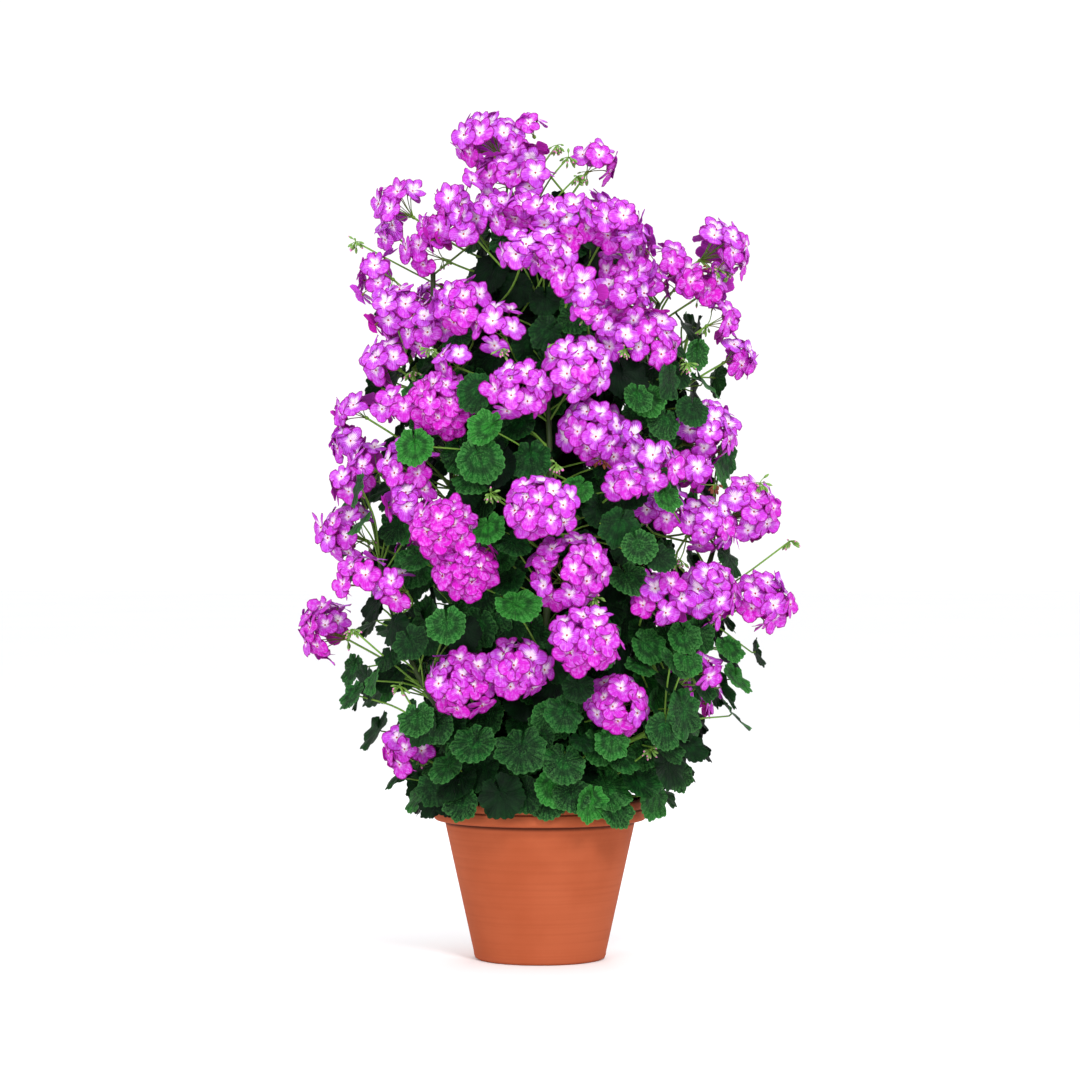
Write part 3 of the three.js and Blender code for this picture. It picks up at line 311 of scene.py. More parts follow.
# Extra leaves fill the inside of the plant and hang over the pot's rim on all sides
EXTRA_LEAVES = 660
EXTRA_TRIES = 20
EXTRA_LOWEST = 278
EXTRA_RISE = 950
EXTRA_TOP = 1228
RIM_LEAVES = 26
STEM_LEAF_STEP = 40
LONGEST_PETIOLE = 230
# A leaf hangs on a stem near a place this far below its hub
PETIOLE_DROP = 45
# Their least and greatest radius, and how near two may be as a part of both their radii
RIM_LEAF = (27, 36, 0.34)
STEM_LEAF = (26, 38, 0.36)
FILL_LEAF = (26, 40, 0.44)
# The uppermost leaves are smaller and the extra ones stay near the middle. The lowest are larger.
UPPER_LEAVES_FROM = 1060
UPPER_LEAF_SHARE = 0.82
UPPER_LEAVES_REACH = 110
LOW_LEAVES_TO = 470
LOW_LEAF_SHARE = 1.13

# Florets: two narrower upper petals and three wider lower ones, each a thin closed sheet
ACROSS = np.array([-1, -0.5, 0, 0.5, 1])
ALONG = np.array([0, 0.3, 0.55])
HALF_WIDTH = np.array([0.1, 0.4, 0.57])
TIP_RADIUS = 0.52
TIP_ANGLE = 70
PETAL_HALF_THICKNESS = 0.2
# A petal's usual tilt and roll, and how much its tilt, ruffle and roll differ from the usual
PETAL_TILT = 0.3
PETAL_ROLL = 0.17
PETAL_SPREADS = (0.14, 0.08, 0.07)
# Each petal's turn from the floret's top, its width and whether it is an upper one
PETALS = [(-30, 0.8, 1), (30, 0.8, 1), (-104, 1.06, 0), (104, 1.06, 0), (180, 1.1, 0)]
HEART_FACES = np.array([(0, k + 1, (k + 1) % 5 + 1) for k in range(5)]
                       + [(k + 1, 6, (k + 1) % 5 + 1) for k in range(5)])

# The kinds of stalk, for their colour: an old stem, a young stalk, and a floret's own
WOODY, GREEN, REDDENING = 0, 0.5, 1

# Materials a green piece and a piece of petals have, in this order
STEM, LEAF, UNDERSIDE, BUD = range(4)
PETAL_FACE, PETAL_BACK, HEART = range(3)

# Both sides of a petal have a faint painted glow, an emission that stands in for the light that comes
# through it
PETAL_GLOW = 0.03
PETAL_VEINS = 12

random = np.random.default_rng(SEED)


def unit(v):
    return v / norm(v)


def vec(*v):
    return np.array(v, float)


def polar(radius, turn, z):
    return vec(radius * math.cos(turn), radius * math.sin(turn), z)


def turned(u, w, turn):
    """The way from u towards w, by a turn."""
    return u * math.cos(turn) + w * math.sin(turn)


def outward(p, depth_share=1.0, pull=0.0):
    """Level and away from the pot's axis, at a point."""
    return unit(vec(p[0], p[1] * depth_share + pull, 0))


def smooth_run(points, step):
    """A smooth run through the points, with equal steps in each span."""
    run = [points[0]]
    for i in range(1, len(points)):
        a = points[max(i - 2, 0)]
        b = points[i - 1]
        c = points[i]
        d = points[min(i + 1, len(points) - 1)]
        steps = max(1, round(norm(c - b) / step))
        for k in range(1, steps + 1):
            t = k / steps
            place = 2 * b + (c - a) * t + (2 * a - 5 * b + 4 * c - d) * t ** 2
            run.append(0.5 * (place + (3 * b - a - 3 * c + d) * t ** 3))
    return run


# The plant's outline and its flower heads


def reach_at(z):
    return np.interp(z, REACH[:, 0], REACH[:, 1]), np.interp(z, REACH[:, 0], REACH[:, 2])


def surface_depth(x, z, radius):
    """How deep the plant's surface lies at x, for something of this radius that sits in it."""
    wide, deep = reach_at(z)
    across = min(abs(x) / max(wide - radius, 1), 1)
    return max(deep - radius, 0) * math.sqrt(1 - across * across)


def seen(x, z, y, radius=0.0):
    """What is seen at (x, z), with this radius, at its true place for a depth y."""
    scale = 1 + y / EYE_DISTANCE
    return vec(x * scale, y, EYE_HEIGHT + (z - EYE_HEIGHT) * scale), radius * scale


def stem_runs(step):
    """Every run of stem as (node, points, radii)."""
    made = []
    for node, runs in STEMS.items():
        for radius, *marks in runs:
            points = smooth_run([vec(*p) for p in marks], step)
            if radius > SIDE_STEM_RADIUS:
                points.insert(0, vec(*marks[0][:2], STEM_FOOT))
            made.append((node, np.array(points), np.linspace(radius, STEM_TIP_RADIUS, len(points))))
    return made


class Stretches:
    """The plant's stems as straight stretches, for distances to all of them at once."""

    def __init__(self, runs):
        self.node = [node for node, points, _ in runs for _ in points[1:]]
        self.a = np.concatenate([points[:-1] for _, points, _ in runs])
        self.b = np.concatenate([points[1:] for _, points, _ in runs])
        self.radius = np.concatenate([radii[:-1] for _, _, radii in runs])

    def nearest(self, p):
        along = self.b - self.a
        t = np.clip(((p - self.a) * along).sum(1) / (along ** 2).sum(1), 0, 1)
        places = self.a + along * t[:, None]
        return norm(places - p, axis=1), places


class Head:
    def __init__(self, x, z, radius, y):
        self.x, self.y, self.z = x, y, z
        self.radius = radius
        self.kind = next(kind for kind in HEAD_KINDS if radius >= kind.least)

    def draw_to(self, others):
        """Moves the head towards the nearest of the others until the two grow into each other."""
        def ratio(other):
            far = math.hypot(other.x - self.x, other.y - self.y, other.z - self.z)
            return far / (other.radius + self.radius)

        near = min(others, key=ratio)
        share = 1 - min(FUSED_APART / ratio(near), 1)
        self.x += (near.x - self.x) * share
        self.y += (near.y - self.y) * share
        self.z += (near.z - self.z) * share

    def place(self, shift):
        """Gives the head its true centre and axis, and the root where its stalk ends."""
        self.centre, self.size = seen(self.x, self.z, self.y + shift, self.radius)
        lift = HEAD_LIFT + max(self.centre[2] - CROWN_FROM, 0) / CROWN_LIFT_RUN
        self.axis = unit(outward(self.centre, HEAD_OUTWARD) + UP * lift)
        self.root = self.centre - self.axis * self.kind.root_depth * self.size

    def holds(self, place, share):
        """Whether a place is within this share of the head's radius."""
        return norm(place - self.centre) < share * self.size

    def is_in(self, places):
        return any(math.hypot(self.x - x, self.z - z) < 3 for x, z in places)


def bloom_groups():
    groups = []
    for heads in FRONT_BLOOMS:
        groups.append([Head(x, z, r, sum(behind) - surface_depth(x, z, r)) for x, z, r, *behind in heads])
    for i in range(BACK_PAIRS):
        z = BACK_LOWEST + BACK_RISE * i
        turn = math.radians(BACK_FIRST_TURN + BACK_ARC * ((i * GOLDEN_PART) % 1))
        x = (reach_at(z)[0] - BACK_RADIUS[0]) * BACK_REACH * math.cos(turn)
        lean = -1 if x > 0 else 1
        aside, rise = BACK_PAIR_STEP
        pair = [(x, z, BACK_RADIUS[0]), (x + lean * aside, z + rise, BACK_RADIUS[1])]
        groups.append([Head(px, pz, r, surface_depth(px, pz, r)) for px, pz, r in pair])
    for group in groups:
        mean = sum(head.y for head in group) / len(group)
        for i, head in enumerate(group):
            head.y = mean + (head.y - mean) * GROUP_DEPTH_SHARE
            if i > 0:
                head.draw_to(group[:i])
    return groups


def settled(groups, stretches):
    """Shifts the groups in depth so that separate heads don't touch each other or the stems."""
    shifts = [0.0] * len(groups)
    pairs = []
    for (i, one), (j, other) in itertools.combinations(enumerate(groups), 2):
        for a, b in itertools.product(one, other):
            need = (a.radius + b.radius) * SETTLE_SPACE + SETTLE_GAP
            aside = math.hypot(a.x - b.x, a.z - b.z)
            if aside < need:
                pairs.append((i, j, b.y - a.y, math.sqrt(need * need - aside * aside)))
    middles = (stretches.a[:, 1] + stretches.b[:, 1]) / 2
    for _ in range(SETTLE_ROUNDS):
        for i, j, apart, need in pairs:
            apart += shifts[j] - shifts[i]
            short = need - abs(apart)
            if short > 0:
                push = (HEAD_PUSH if apart >= 0 else -HEAD_PUSH) * short
                shifts[i] -= push
                shifts[j] += push
        for i, group in enumerate(groups):
            for head in group:
                centre, radius = seen(head.x, head.z, head.y + shifts[i], head.radius)
                far, _ = stretches.nearest(centre)
                short = np.maximum(radius + stretches.radius + STEM_GAP - far, 0)
                push = np.where(centre[1] < middles, -STEM_PUSH, STEM_PUSH)
                shifts[i] += float((push * short).sum())
    return shifts


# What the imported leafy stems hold: every blade and stalk is found on their nodes


class Solid:
    """A node's points, in millimetres, with the neighbours of each."""

    def __init__(self, node):
        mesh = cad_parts[node].data
        mesh.calc_loop_triangles()
        points = np.array([v.co for v in mesh.vertices])
        grid = np.round(points * CELLS_PER_METRE).astype(int)
        _, first, own = np.unique(grid, axis=0, return_index=True, return_inverse=True)
        self.points = points[first] / MM
        self.around = [set() for _ in self.points]
        self.following = [{} for _ in self.points]
        for face in own.ravel()[[list(t.vertices) for t in mesh.loop_triangles]].tolist():
            for k in range(3):
                a, b, c = face[k], face[(k + 1) % 3], face[(k + 2) % 3]
                self.around[a].update((b, c))
                self.following[a][b] = c

    def next_ring(self, ring, behind):
        """The ring of points that a stalk's band joins to this one, on the side away from behind."""
        found = set().union(*(self.around[k] for k in ring)) - set(ring) - set(behind)
        return found if len(found) == 3 else None

    def path_back(self, ring, behind, spans):
        """The stalk's points from a ring back to its stem."""
        path = [self.points[list(ring)].mean(0)]
        for _ in range(spans):
            further = self.next_ring(ring, behind)
            if further is None:
                return path
            behind, ring = ring, further
            path.append(self.points[list(ring)].mean(0))
        return path


class Blade:
    def __init__(self, hub, tip, normal, radius, path):
        self.hub, self.tip, self.normal = hub, tip, normal
        self.radius, self.path = radius, path


def blades_of(solid):
    """Leaves have a fan of 14 or 10 rim points round their hub, whose nearest is the notch."""
    leaves, buds = [], []
    for hub, around in enumerate(solid.around):
        lobes = RIM_POINTS.get(len(around))
        if not lobes or len(solid.following[hub]) != len(around):
            continue
        away = {k: norm(solid.points[k] - solid.points[hub]) for k in around}
        near = sorted(away.values())
        rim = [min(away, key=away.get)]
        while len(rim) < len(around):
            rim.append(solid.following[hub][rim[-1]])
        collar = set().union(*(solid.around[k] for k in rim)) - set(rim) - {hub}
        if len(collar) != 3 or len(set(rim)) != len(around):
            continue
        if near[-1] < LEAST_LEAF:
            buds.append((solid.points[rim].mean(0), solid.path_back(collar, rim, 2)))
            continue
        if near[1] < 0.5 * near[-1]:
            continue
        sinus, first, middle, last = (solid.points[rim[k]] for k in (0, 1, lobes, len(rim) - 1))
        side = unit(last - first)
        along = middle - sinus
        along -= side * (along @ side)
        radius = norm(along) / math.hypot(TIP_REACH + SINUS, LOBE_LIFT)
        slope = math.atan2(LOBE_LIFT, TIP_REACH + SINUS)
        v = unit(along)
        w = np.cross(v, side)
        tip = v * math.cos(slope) - w * math.sin(slope)
        normal = v * math.sin(slope) + w * math.cos(slope)
        path = solid.path_back(collar, rim, 2 if lobes == LOBES else 1)
        leaves.append(Blade(sinus + tip * SINUS * radius, tip, normal, radius, path))
    return leaves, buds


def find_stalk(head):
    """(node, points) of the stalk that ends under a head, from the head back to the stem."""
    end = head.root - head.axis * CLEARANCE
    for node, solid in solids.items():
        far = norm(solid.points - end, axis=1)
        ring = np.nonzero(far < STALK_RADIUS + 0.1)[0].tolist()
        if len(ring) == 3:
            return node, solid.path_back(set(ring), (), 2)
    return None, None


stretches = Stretches(stem_runs(STEM_STEP))
groups = bloom_groups()
for group, shift in zip(groups, settled(groups, stretches)):
    for head in group:
        head.place(shift)
heads = [head for group in groups for head in group]

solids = {node: Solid(node) for node in STEMS}
leaves = {}
bud_clusters = {}
for node, solid in solids.items():
    leaves[node], bud_clusters[node] = blades_of(solid)

for head in heads:
    head.node, head.path = find_stalk(head)
for group in groups:
    for head in group:
        head.node = head.node or next((other.node for other in group if other.node), "stem_crown")


# Meshes are collected as triangles. Each point has a place on its petal, leaf or stalk, and a
# tone: a random share and an age with painted shade, or a kind.


def smooth(mesh):
    mesh.shade_smooth()
    mesh.set_sharp_from_angle(angle=math.radians(SHARP_ANGLE))


def add_object(name, data):
    made = bpy.data.objects.new(name, data)
    bpy.context.scene.collection.objects.link(made)
    return made


class Builder:
    def __init__(self):
        self.points, self.faces, self.places, self.tones, self.materials = [], [], [], [], []
        self.count = 0

    def add(self, points, parts, places=(0, 0), tone=(0, 0)):
        """Adds points and the parts of their surface, each as (faces, number of its material)."""
        self.points.append(points)
        self.places.append(np.broadcast_to(np.array(places, float), (len(points), 2)))
        self.tones.append(np.broadcast_to(np.array(tone, float), (len(points), 2)))
        for faces, material in parts:
            self.faces.append(faces + self.count)
            self.materials.append(np.full(len(faces), material, np.int32))
        self.count += len(points)

    def piece(self, name, materials, slot, *nodes):
        faces = np.concatenate(self.faces)
        mesh = bpy.data.meshes.new(name)
        mesh.from_pydata(np.concatenate(self.points) * MM, [], faces)
        mesh.polygons.foreach_set("material_index", np.concatenate(self.materials))
        for layer, values in (("place", self.places), ("tone", self.tones)):
            at = np.concatenate(values)[faces.ravel()]
            mesh.uv_layers.new(name=layer).uv.foreach_set("vector", at.astype(np.float32).ravel())
        smooth(mesh)
        for material in materials:
            mesh.materials.append(material)
        made = add_object(name, mesh)
        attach(made, "root")
        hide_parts(*nodes)
        return made


@functools.lru_cache(None)
def tube_faces(rings, sides):
    faces = [(0, k + 1, k) for k in range(1, sides - 1)]
    for r in range(rings - 1):
        for k in range(sides):
            a, b = r * sides + k, r * sides + (k + 1) % sides
            faces += [(a, b, b + sides), (a, b + sides, a + sides)]
    last = (rings - 1) * sides
    faces += [(last, last + k, last + k + 1) for k in range(1, sides - 1)]
    return np.array(faces)


def add_tube(builder, points, radii, sides, tone=(0, 0), material=0):
    """Adds a closed round tube along the points, of the piece's first material or another."""
    points = np.asarray(points, float)
    along = np.gradient(points, axis=0)
    turns = np.arange(sides) * 2 * math.pi / sides
    u = vec(1, 0, 0) if abs(along[0, 0]) < 0.8 * norm(along[0]) else vec(0, 1, 0)
    rings = []
    places = []
    for i, (p, way, radius) in enumerate(zip(points, along, radii)):
        way = unit(way)
        u = unit(u - way * (u @ way))
        w = np.cross(way, u)
        rings.append(p + radius * (np.outer(np.cos(turns), u) + np.outer(np.sin(turns), w)))
        places.append(np.column_stack([np.full(sides, i / (len(points) - 1)), turns / (2 * math.pi)]))
    faces = tube_faces(len(points), sides)
    builder.add(np.concatenate(rings), [(faces, material)], np.concatenate(places), tone)


def add_stalk(builder, points, step, radius, sides):
    """A smooth even stalk along the points."""
    run = smooth_run(points, step)
    add_tube(builder, run, np.full(len(run), radius), sides, (random.uniform(), GREEN))


class Sheet:
    """A closed thin sheet. Its two sides share its edge, and its inner points are there twice."""

    def __init__(self, upper, inner, places):
        self.upper, self.inner = np.array(upper), np.array(inner)
        under = np.arange(len(places))
        under[self.inner] = len(places) + np.arange(len(inner))
        self.lower = under[self.upper][:, ::-1]
        self.places = np.concatenate([places, places[self.inner]])

    def add_sheet(self, builder, shape, thick, materials, tone):
        """Adds the sheet with its middle at shape, this thick to each side."""
        under = shape[self.inner] - thick
        shape[self.inner] += thick
        parts = zip((self.upper, self.lower), materials)
        builder.add(np.concatenate([shape, under]), parts, self.places, tone)


class LeafTemplate(Sheet):
    def __init__(self, rings, lobe_depth):
        steps = LOBES * TEETH * STEPS_PER_TOOTH
        half = LOBES * LOBE_STEP / 2
        angle = np.linspace(-half, half, steps + 1)
        phase = (angle + half) / LOBE_STEP % 1
        lobed = (1.02 + 0.2 * np.cos(np.radians(angle))) * (
            1 - lobe_depth * (1 + np.cos(2 * math.pi * phase)) / 2)
        valley = np.arange(steps + 1) % STEPS_PER_TOOTH == 0
        toothed = np.append(lobed * np.where(valley, 1 - TOOTH_DEPTH, 1), SINUS)
        lobed = np.append(lobed, SINUS)
        sides = steps + 2
        angle = np.append(angle, 180)
        pleat = np.append(-np.cos(2 * math.pi * phase), 0)
        spread = np.append((angle[:-1] + half) / (2 * half), 0.5)

        # Each ring takes this much more of the teeth as it nears the rim
        share = np.array(rings)[:, None]
        out = share * (lobed + (toothed - lobed) * share ** 6)
        self.share = np.append(0, np.repeat(rings, sides))
        self.angle = np.append(0, np.tile(np.radians(angle), len(rings)))
        self.out = np.append(0, out.ravel())
        self.pleat = np.append(0, np.tile(pleat, len(rings)))
        places = np.column_stack([np.append(0.5, np.tile(spread, len(rings))), self.share])

        ring = lambda r, k: 1 + r * sides + k % sides
        upper = [(0, ring(0, k), ring(0, k + 1)) for k in range(sides)]
        for r in range(len(rings) - 1):
            for k in range(sides):
                a, b, c, d = ring(r, k), ring(r + 1, k), ring(r + 1, k + 1), ring(r, k + 1)
                upper += [(a, b, c), (a, c, d)]
        super().__init__(upper, np.arange(len(places) - sides), places)

    def add_to(self, builder, blade, tone):
        """Adds a leaf with a cup, a wave and a bend of its own, and a ripple round its rim."""
        x = self.out * np.cos(self.angle)
        y = self.out * np.sin(self.angle)
        cup, wave, bend = random.normal(*LEAF_CURVES)
        turn, start = random.uniform(0, 2 * math.pi, 2)
        z = self.share * (0.04 + PLEAT * self.pleat * self.share)
        z = z + cup * self.share ** 2 + wave * self.share ** 2 * np.sin(2 * self.angle + turn)
        z = z - abs(bend) * np.maximum(x, 0) ** 2
        z = z + RIPPLE * self.share ** 3 * np.sin(4 * self.angle + start)
        shape = np.outer(x, blade.tip) + np.outer(y, np.cross(blade.normal, blade.tip))
        shape = blade.hub + blade.radius * (shape + np.outer(z, blade.normal))
        self.add_sheet(builder, shape, LEAF_HALF_THICKNESS * blade.normal, (LEAF, UNDERSIDE), tone)


def add_leaf(builder, blade, templates):
    """A leaf with its stalk, whose path runs from the blade back to the stem."""
    tone = random.uniform(), blade.age
    templates[round(blade.hub[2]) % len(templates)].add_to(builder, blade, tone)
    run = smooth_run(blade.path[:0:-1] + [blade.hub - blade.normal * 6, blade.hub], 14)
    radii = np.linspace(PETIOLE_RADIUS * 1.1, PETIOLE_RADIUS * 0.8, len(run))
    add_tube(builder, run, radii, 6, (tone[0], GREEN))


class PetalTemplate(Sheet):
    def __init__(self):
        tip = np.radians(TIP_ANGLE * ACROSS)
        self.x = np.append(np.outer(HALF_WIDTH, ACROSS), TIP_RADIUS * np.sin(tip))
        self.y = np.append(np.repeat(ALONG, len(ACROSS)), ALONG[-1] + TIP_RADIUS * np.cos(tip))
        columns, rows = len(ACROSS), len(ALONG) + 1
        self.u = np.tile(ACROSS, rows)
        inner = [j * columns + i for j in range(1, rows - 1) for i in range(1, columns - 1)]
        upper = []
        for j in range(rows - 1):
            for i in range(columns - 1):
                a = j * columns + i
                b, c, d = a + 1, a + columns + 1, a + columns
                if a in inner or c in inner:
                    upper += [(a, b, c), (a, c, d)]
                else:
                    upper += [(a, b, d), (b, c, d)]
        super().__init__(upper, inner, np.column_stack([0.5 + self.x, self.y]))

    def add_to(self, builder, centre, way, face, size, width, tone):
        """Adds a petal that grows from centre along way and faces the way of face."""
        tilt, ruffle, roll = random.normal(0, PETAL_SPREADS)
        turn = random.uniform(0, 2 * math.pi)
        z = self.y * (PETAL_TILT + tilt) - 0.22 * self.y ** 2 - 0.25 * self.x ** 2
        z = z + ruffle * np.sin(3 * self.u + turn) * self.y ** 2 + (PETAL_ROLL + roll) * self.x
        across = np.cross(way, face)
        shape = np.outer(self.x * width, across) + np.outer(self.y + 0.04, way) + np.outer(z, face)
        thick = face * PETAL_HALF_THICKNESS
        self.add_sheet(builder, centre + size * shape, thick, (PETAL_FACE, PETAL_BACK), tone)


FINE_LEAVES = [LeafTemplate([0.3, 0.6, 0.84, 1], depth) for depth in LOBE_DEPTHS]
PLAIN_LEAVES = [LeafTemplate([0.55, 1], depth) for depth in LOBE_DEPTHS]
PETAL = PetalTemplate()


def add_floret(petals, greens, head, place, face, size, tone):
    """Five petals and a heart, on a stalk that bends out of the head's root."""
    top = unit(UP - face * (UP @ face) + random.normal(0, 0.25, 3) * 0.6)
    top = unit(top - face * (top @ face))
    side = np.cross(face, top)
    for turn, width, upper in PETALS:
        way = turned(top, side, math.radians(turn + random.normal(0, 4)))
        length = size * random.uniform(0.88, 1.06)
        PETAL.add_to(petals, place, way, face, length, width, (tone, upper))
    ring = [place + size * (0.07 * turned(top, side, turn) + 0.04 * face)
            for turn in np.arange(5) * 2 * math.pi / 5]
    heart = np.array([place + face * 0.13 * size, *ring, place - face * 0.02 * size])
    petals.add(heart, [(HEART_FACES, HEART)], (0.5, 0.5), (tone, 0))

    neck = place - face * 7
    bend = head.root + (neck - head.root) * 0.5 + head.axis * 0.12 * head.size
    run = [head.root, head.root * 0.35 + bend * 0.65, bend * 0.45 + neck * 0.55, neck,
           place - face * 1.6, place + face * 0.3]
    radii = PEDICEL_RADIUS * vec(1.2, 1, 1, 1.3, 2.2, 2.8)
    add_tube(greens, run, radii, 4, (tone, REDDENING))


def head_directions(axis, count, arc):
    """Ways that lie evenly round an axis, out to an angle from it."""
    u = unit(np.cross(axis, vec(0.3, 1, 0.2)))
    w = np.cross(axis, u)
    start = random.uniform(0, 2 * math.pi)
    ways = []
    for i in range(count):
        high = 1 - (i + 0.4) / count * (1 - math.cos(arc))
        turn = start + i * 2 * math.pi * GOLDEN_PART
        ways.append(axis * high + turned(u, w, turn) * math.sqrt(1 - high * high))
    return ways


def outer_place(x, z, margin):
    """The head nearest to what is seen at (x, z), and a place there just in front of it."""
    head = min(heads, key=lambda other: (other.x - x) ** 2 + (other.z - z) ** 2 + max(other.y, 0) ** 2)
    aside = math.hypot(head.x - x, head.z - z)
    front = head.centre[1] - math.sqrt(max(head.size ** 2 - aside ** 2, 0)) - margin
    return head, seen(x, z, front)[0]


def inside_box(centre, place, margin):
    """The place, drawn towards the centre until it is this far inside the solids' box."""
    low, high = np.array(cad_box) / MM
    way = place - centre
    room = np.where(way > 0, high - margin - centre, centre - low - margin)
    return centre + way * min(1, np.min(np.maximum(room, 0) / np.maximum(abs(way), 1)))


def carpet_places():
    """Places, with the nearer head's, for florets in the gaps between the upper heads."""
    found = []
    for i, one in enumerate(heads):
        for other in heads[:i]:
            gap = norm(other.centre - one.centre) - one.size - other.size
            if gap > CARPET_GAP or min(one.z, other.z) < CARPET_FROM:
                continue
            for _ in range(CARPET_FLORETS):
                share = random.uniform(0.38, 0.62)
                place = one.centre + (other.centre - one.centre) * share
                out = outward(place, HEAD_OUTWARD)
                place = place + out * 0.45 * min(one.size, other.size) + random.normal(0, 13, 3)
                place = inside_box(one.centre, place, FLORET_REACH)
                if not any(head.holds(place, 0.97) for head in heads):
                    found.append((one if share < 0.5 else other, place))
    return found


def add_head(petals, greens, head, others):
    dense = head.is_in(DENSE_HEADS)
    airy = head.is_in(LOOSE_HEADS)
    gap = math.cos(math.radians(GAP_ANGLE)) if head.is_in(OPEN_HEADS) else 1
    gap_side = unit(vec(*GAP_SIDE))
    size = min(FLORET_REACH, FLORET_SHARE * head.size)
    far = head.kind.swell * math.sqrt(head.size ** 2 - (0.93 * size) ** 2)
    squash = vec(1, 1, random.uniform(0.82, 1))
    lean = OUTWARD_LEAN * outward(head.centre, HEAD_OUTWARD, LIGHT_PULL) + 0.12 * UP
    lump = random.normal(0, 0.05, 3)
    arc = math.radians(LOOSE_ARC if airy else head.kind.arc)
    space = FLORET_SPACE * (DENSE_SPACE if dense else LOOSE_SPACE if airy else 1) * size / FLORET_REACH
    # Florets fill the cap of the sphere out to the arc
    count = round(2 * math.pi * far ** 2 * (1 - math.cos(arc)) / (HEXAGON_SHARE * space ** 2))
    for way in head_directions(head.axis, count, arc):
        way = unit(way + random.normal(0, WAY_SPREAD, 3))
        if way @ gap_side > gap:
            continue
        reach = size * random.uniform(*FLORET_SIZES)
        face = unit(way + lean + random.normal(0, FACE_SPREAD, 3))
        place = head.centre + way * squash * far * (random.uniform(*FLORET_DISTANCES) + way @ lump)
        place = inside_box(head.centre, place, reach * np.sqrt(1 - face ** 2) + 5)
        if any(other.holds(place, FREE_SHARE) for other in others):
            continue
        tone = random.uniform(*DENSE_TONES if dense else TONES)
        deeper = DEEPENING * max(DEEP_BELOW - place[2], 0)
        # Deeper towards the head's underside: painted shade
        tone = min(max(tone - UNDERSIDE_SHADE * way[2] + deeper, 0), 1)
        add_floret(petals, greens, head, place, face, reach, tone)
    if random.uniform() < 0.6:
        add_buds(greens, head.root, head.axis * -0.3 + vec(0, 0, -0.5), 11, random.integers(3, 7))
    knob = [head.root + head.axis * high for high in (-4, -1.5, 1, 3)]
    add_tube(greens, knob, [1.8, 3.2, 3.2, 1.2], 7, (0.5, GREEN))


def add_buds(greens, place, lean, reach, count, spent=False):
    """A tuft of buds, or of dry ones, on short stalks. They lean one way and reach this far."""
    for _ in range(count):
        way = unit(random.normal(0, 1, 3) * vec(1, 1, 0.7) + lean * 1.6)
        sag = unit(way + vec(0, 0, -0.35))
        size = random.uniform(0.75, 1.15)
        foot = place + way * reach * random.uniform(0.6, 1)
        tone = random.uniform() + 2 * spent
        run = [place, (place + foot) / 2 + UP, foot]
        add_tube(greens, run, [0.8, 0.6, 0.7], 4, (tone, GREEN))
        points = [foot + sag * share * BUD_LENGTH * size for share, _ in BUD_PROFILE]
        add_tube(greens, points, [r * size for _, r in BUD_PROFILE], 6, (tone, 0), BUD)


# Extra leaves


def facing(centre):
    """A normal and a tip for a leaf that faces outward and a little up."""
    out = outward(centre, LEAF_OUTWARD)
    normal = unit(out + UP * random.uniform(0.1, 0.8) + random.uniform(-0.45, 0.45, 3))
    tip = out * 0.3 - UP * 0.8 + random.uniform(-0.45, 0.45, 3)
    return normal, unit(tip - normal * (tip @ normal))


def clears_pot(p, radius):
    beside = math.hypot(p[0], p[1]) > RIM_RADIUS + 0.5 * radius + 4
    return p[2] > POT_HEIGHT + 0.55 * radius + 3 or beside


def is_free(centre, radius, space):
    """Whether a leaf there stays out of the flower heads, and this far from the other leaves."""
    out = outward(centre)
    for head in heads:
        away = centre - head.centre
        ahead = away @ out
        beside = norm(away - ahead * out)
        if norm(away) < head.size + 0.5 * radius or ahead > 0 and beside < 0.9 * head.size:
            return False
    return all(norm(centre - place) >= space * (size + radius) for place, size in leaf_places)


def try_leaf(centre, least, most, space):
    """Hangs an extra leaf on the nearest stem below it, where there is room."""
    radius = random.uniform(least, most)
    if not clears_pot(centre, radius):
        return False
    if centre[2] > UPPER_LEAVES_FROM + 50 and abs(centre[0]) > UPPER_LEAVES_REACH:
        return False
    if not is_free(centre, radius, space):
        return False
    normal, tip = facing(centre)
    hub = centre - tip * HUB_OFF * radius
    far, places = fine_stems.nearest(hub - UP * PETIOLE_DROP)
    best = int(np.argmin(far + 2 * np.maximum(places[:, 2] - hub[2] + 10, 0)))
    site = places[best]
    if norm(site - hub) > LONGEST_PETIOLE:
        return False
    middle = (hub + site) / 2 - normal * 0.08 * far[best] + UP * 0.1 * far[best]
    if any(head.holds(middle, 0.9) for head in heads):
        return False
    blade = Blade(hub, tip, normal, radius, [hub, middle, site])
    wide, deep = reach_at(centre[2])
    # Leaves nearer the plant's middle get a lower value here: painted shade deep inside the plant
    blade.age = random.uniform(0.1, 0.8) * min(1, 1.2 * math.hypot(centre[0] / wide, centre[1] / deep))
    extras[fine_stems.node[best]].append(blade)
    leaf_places.append((centre, radius))
    return True


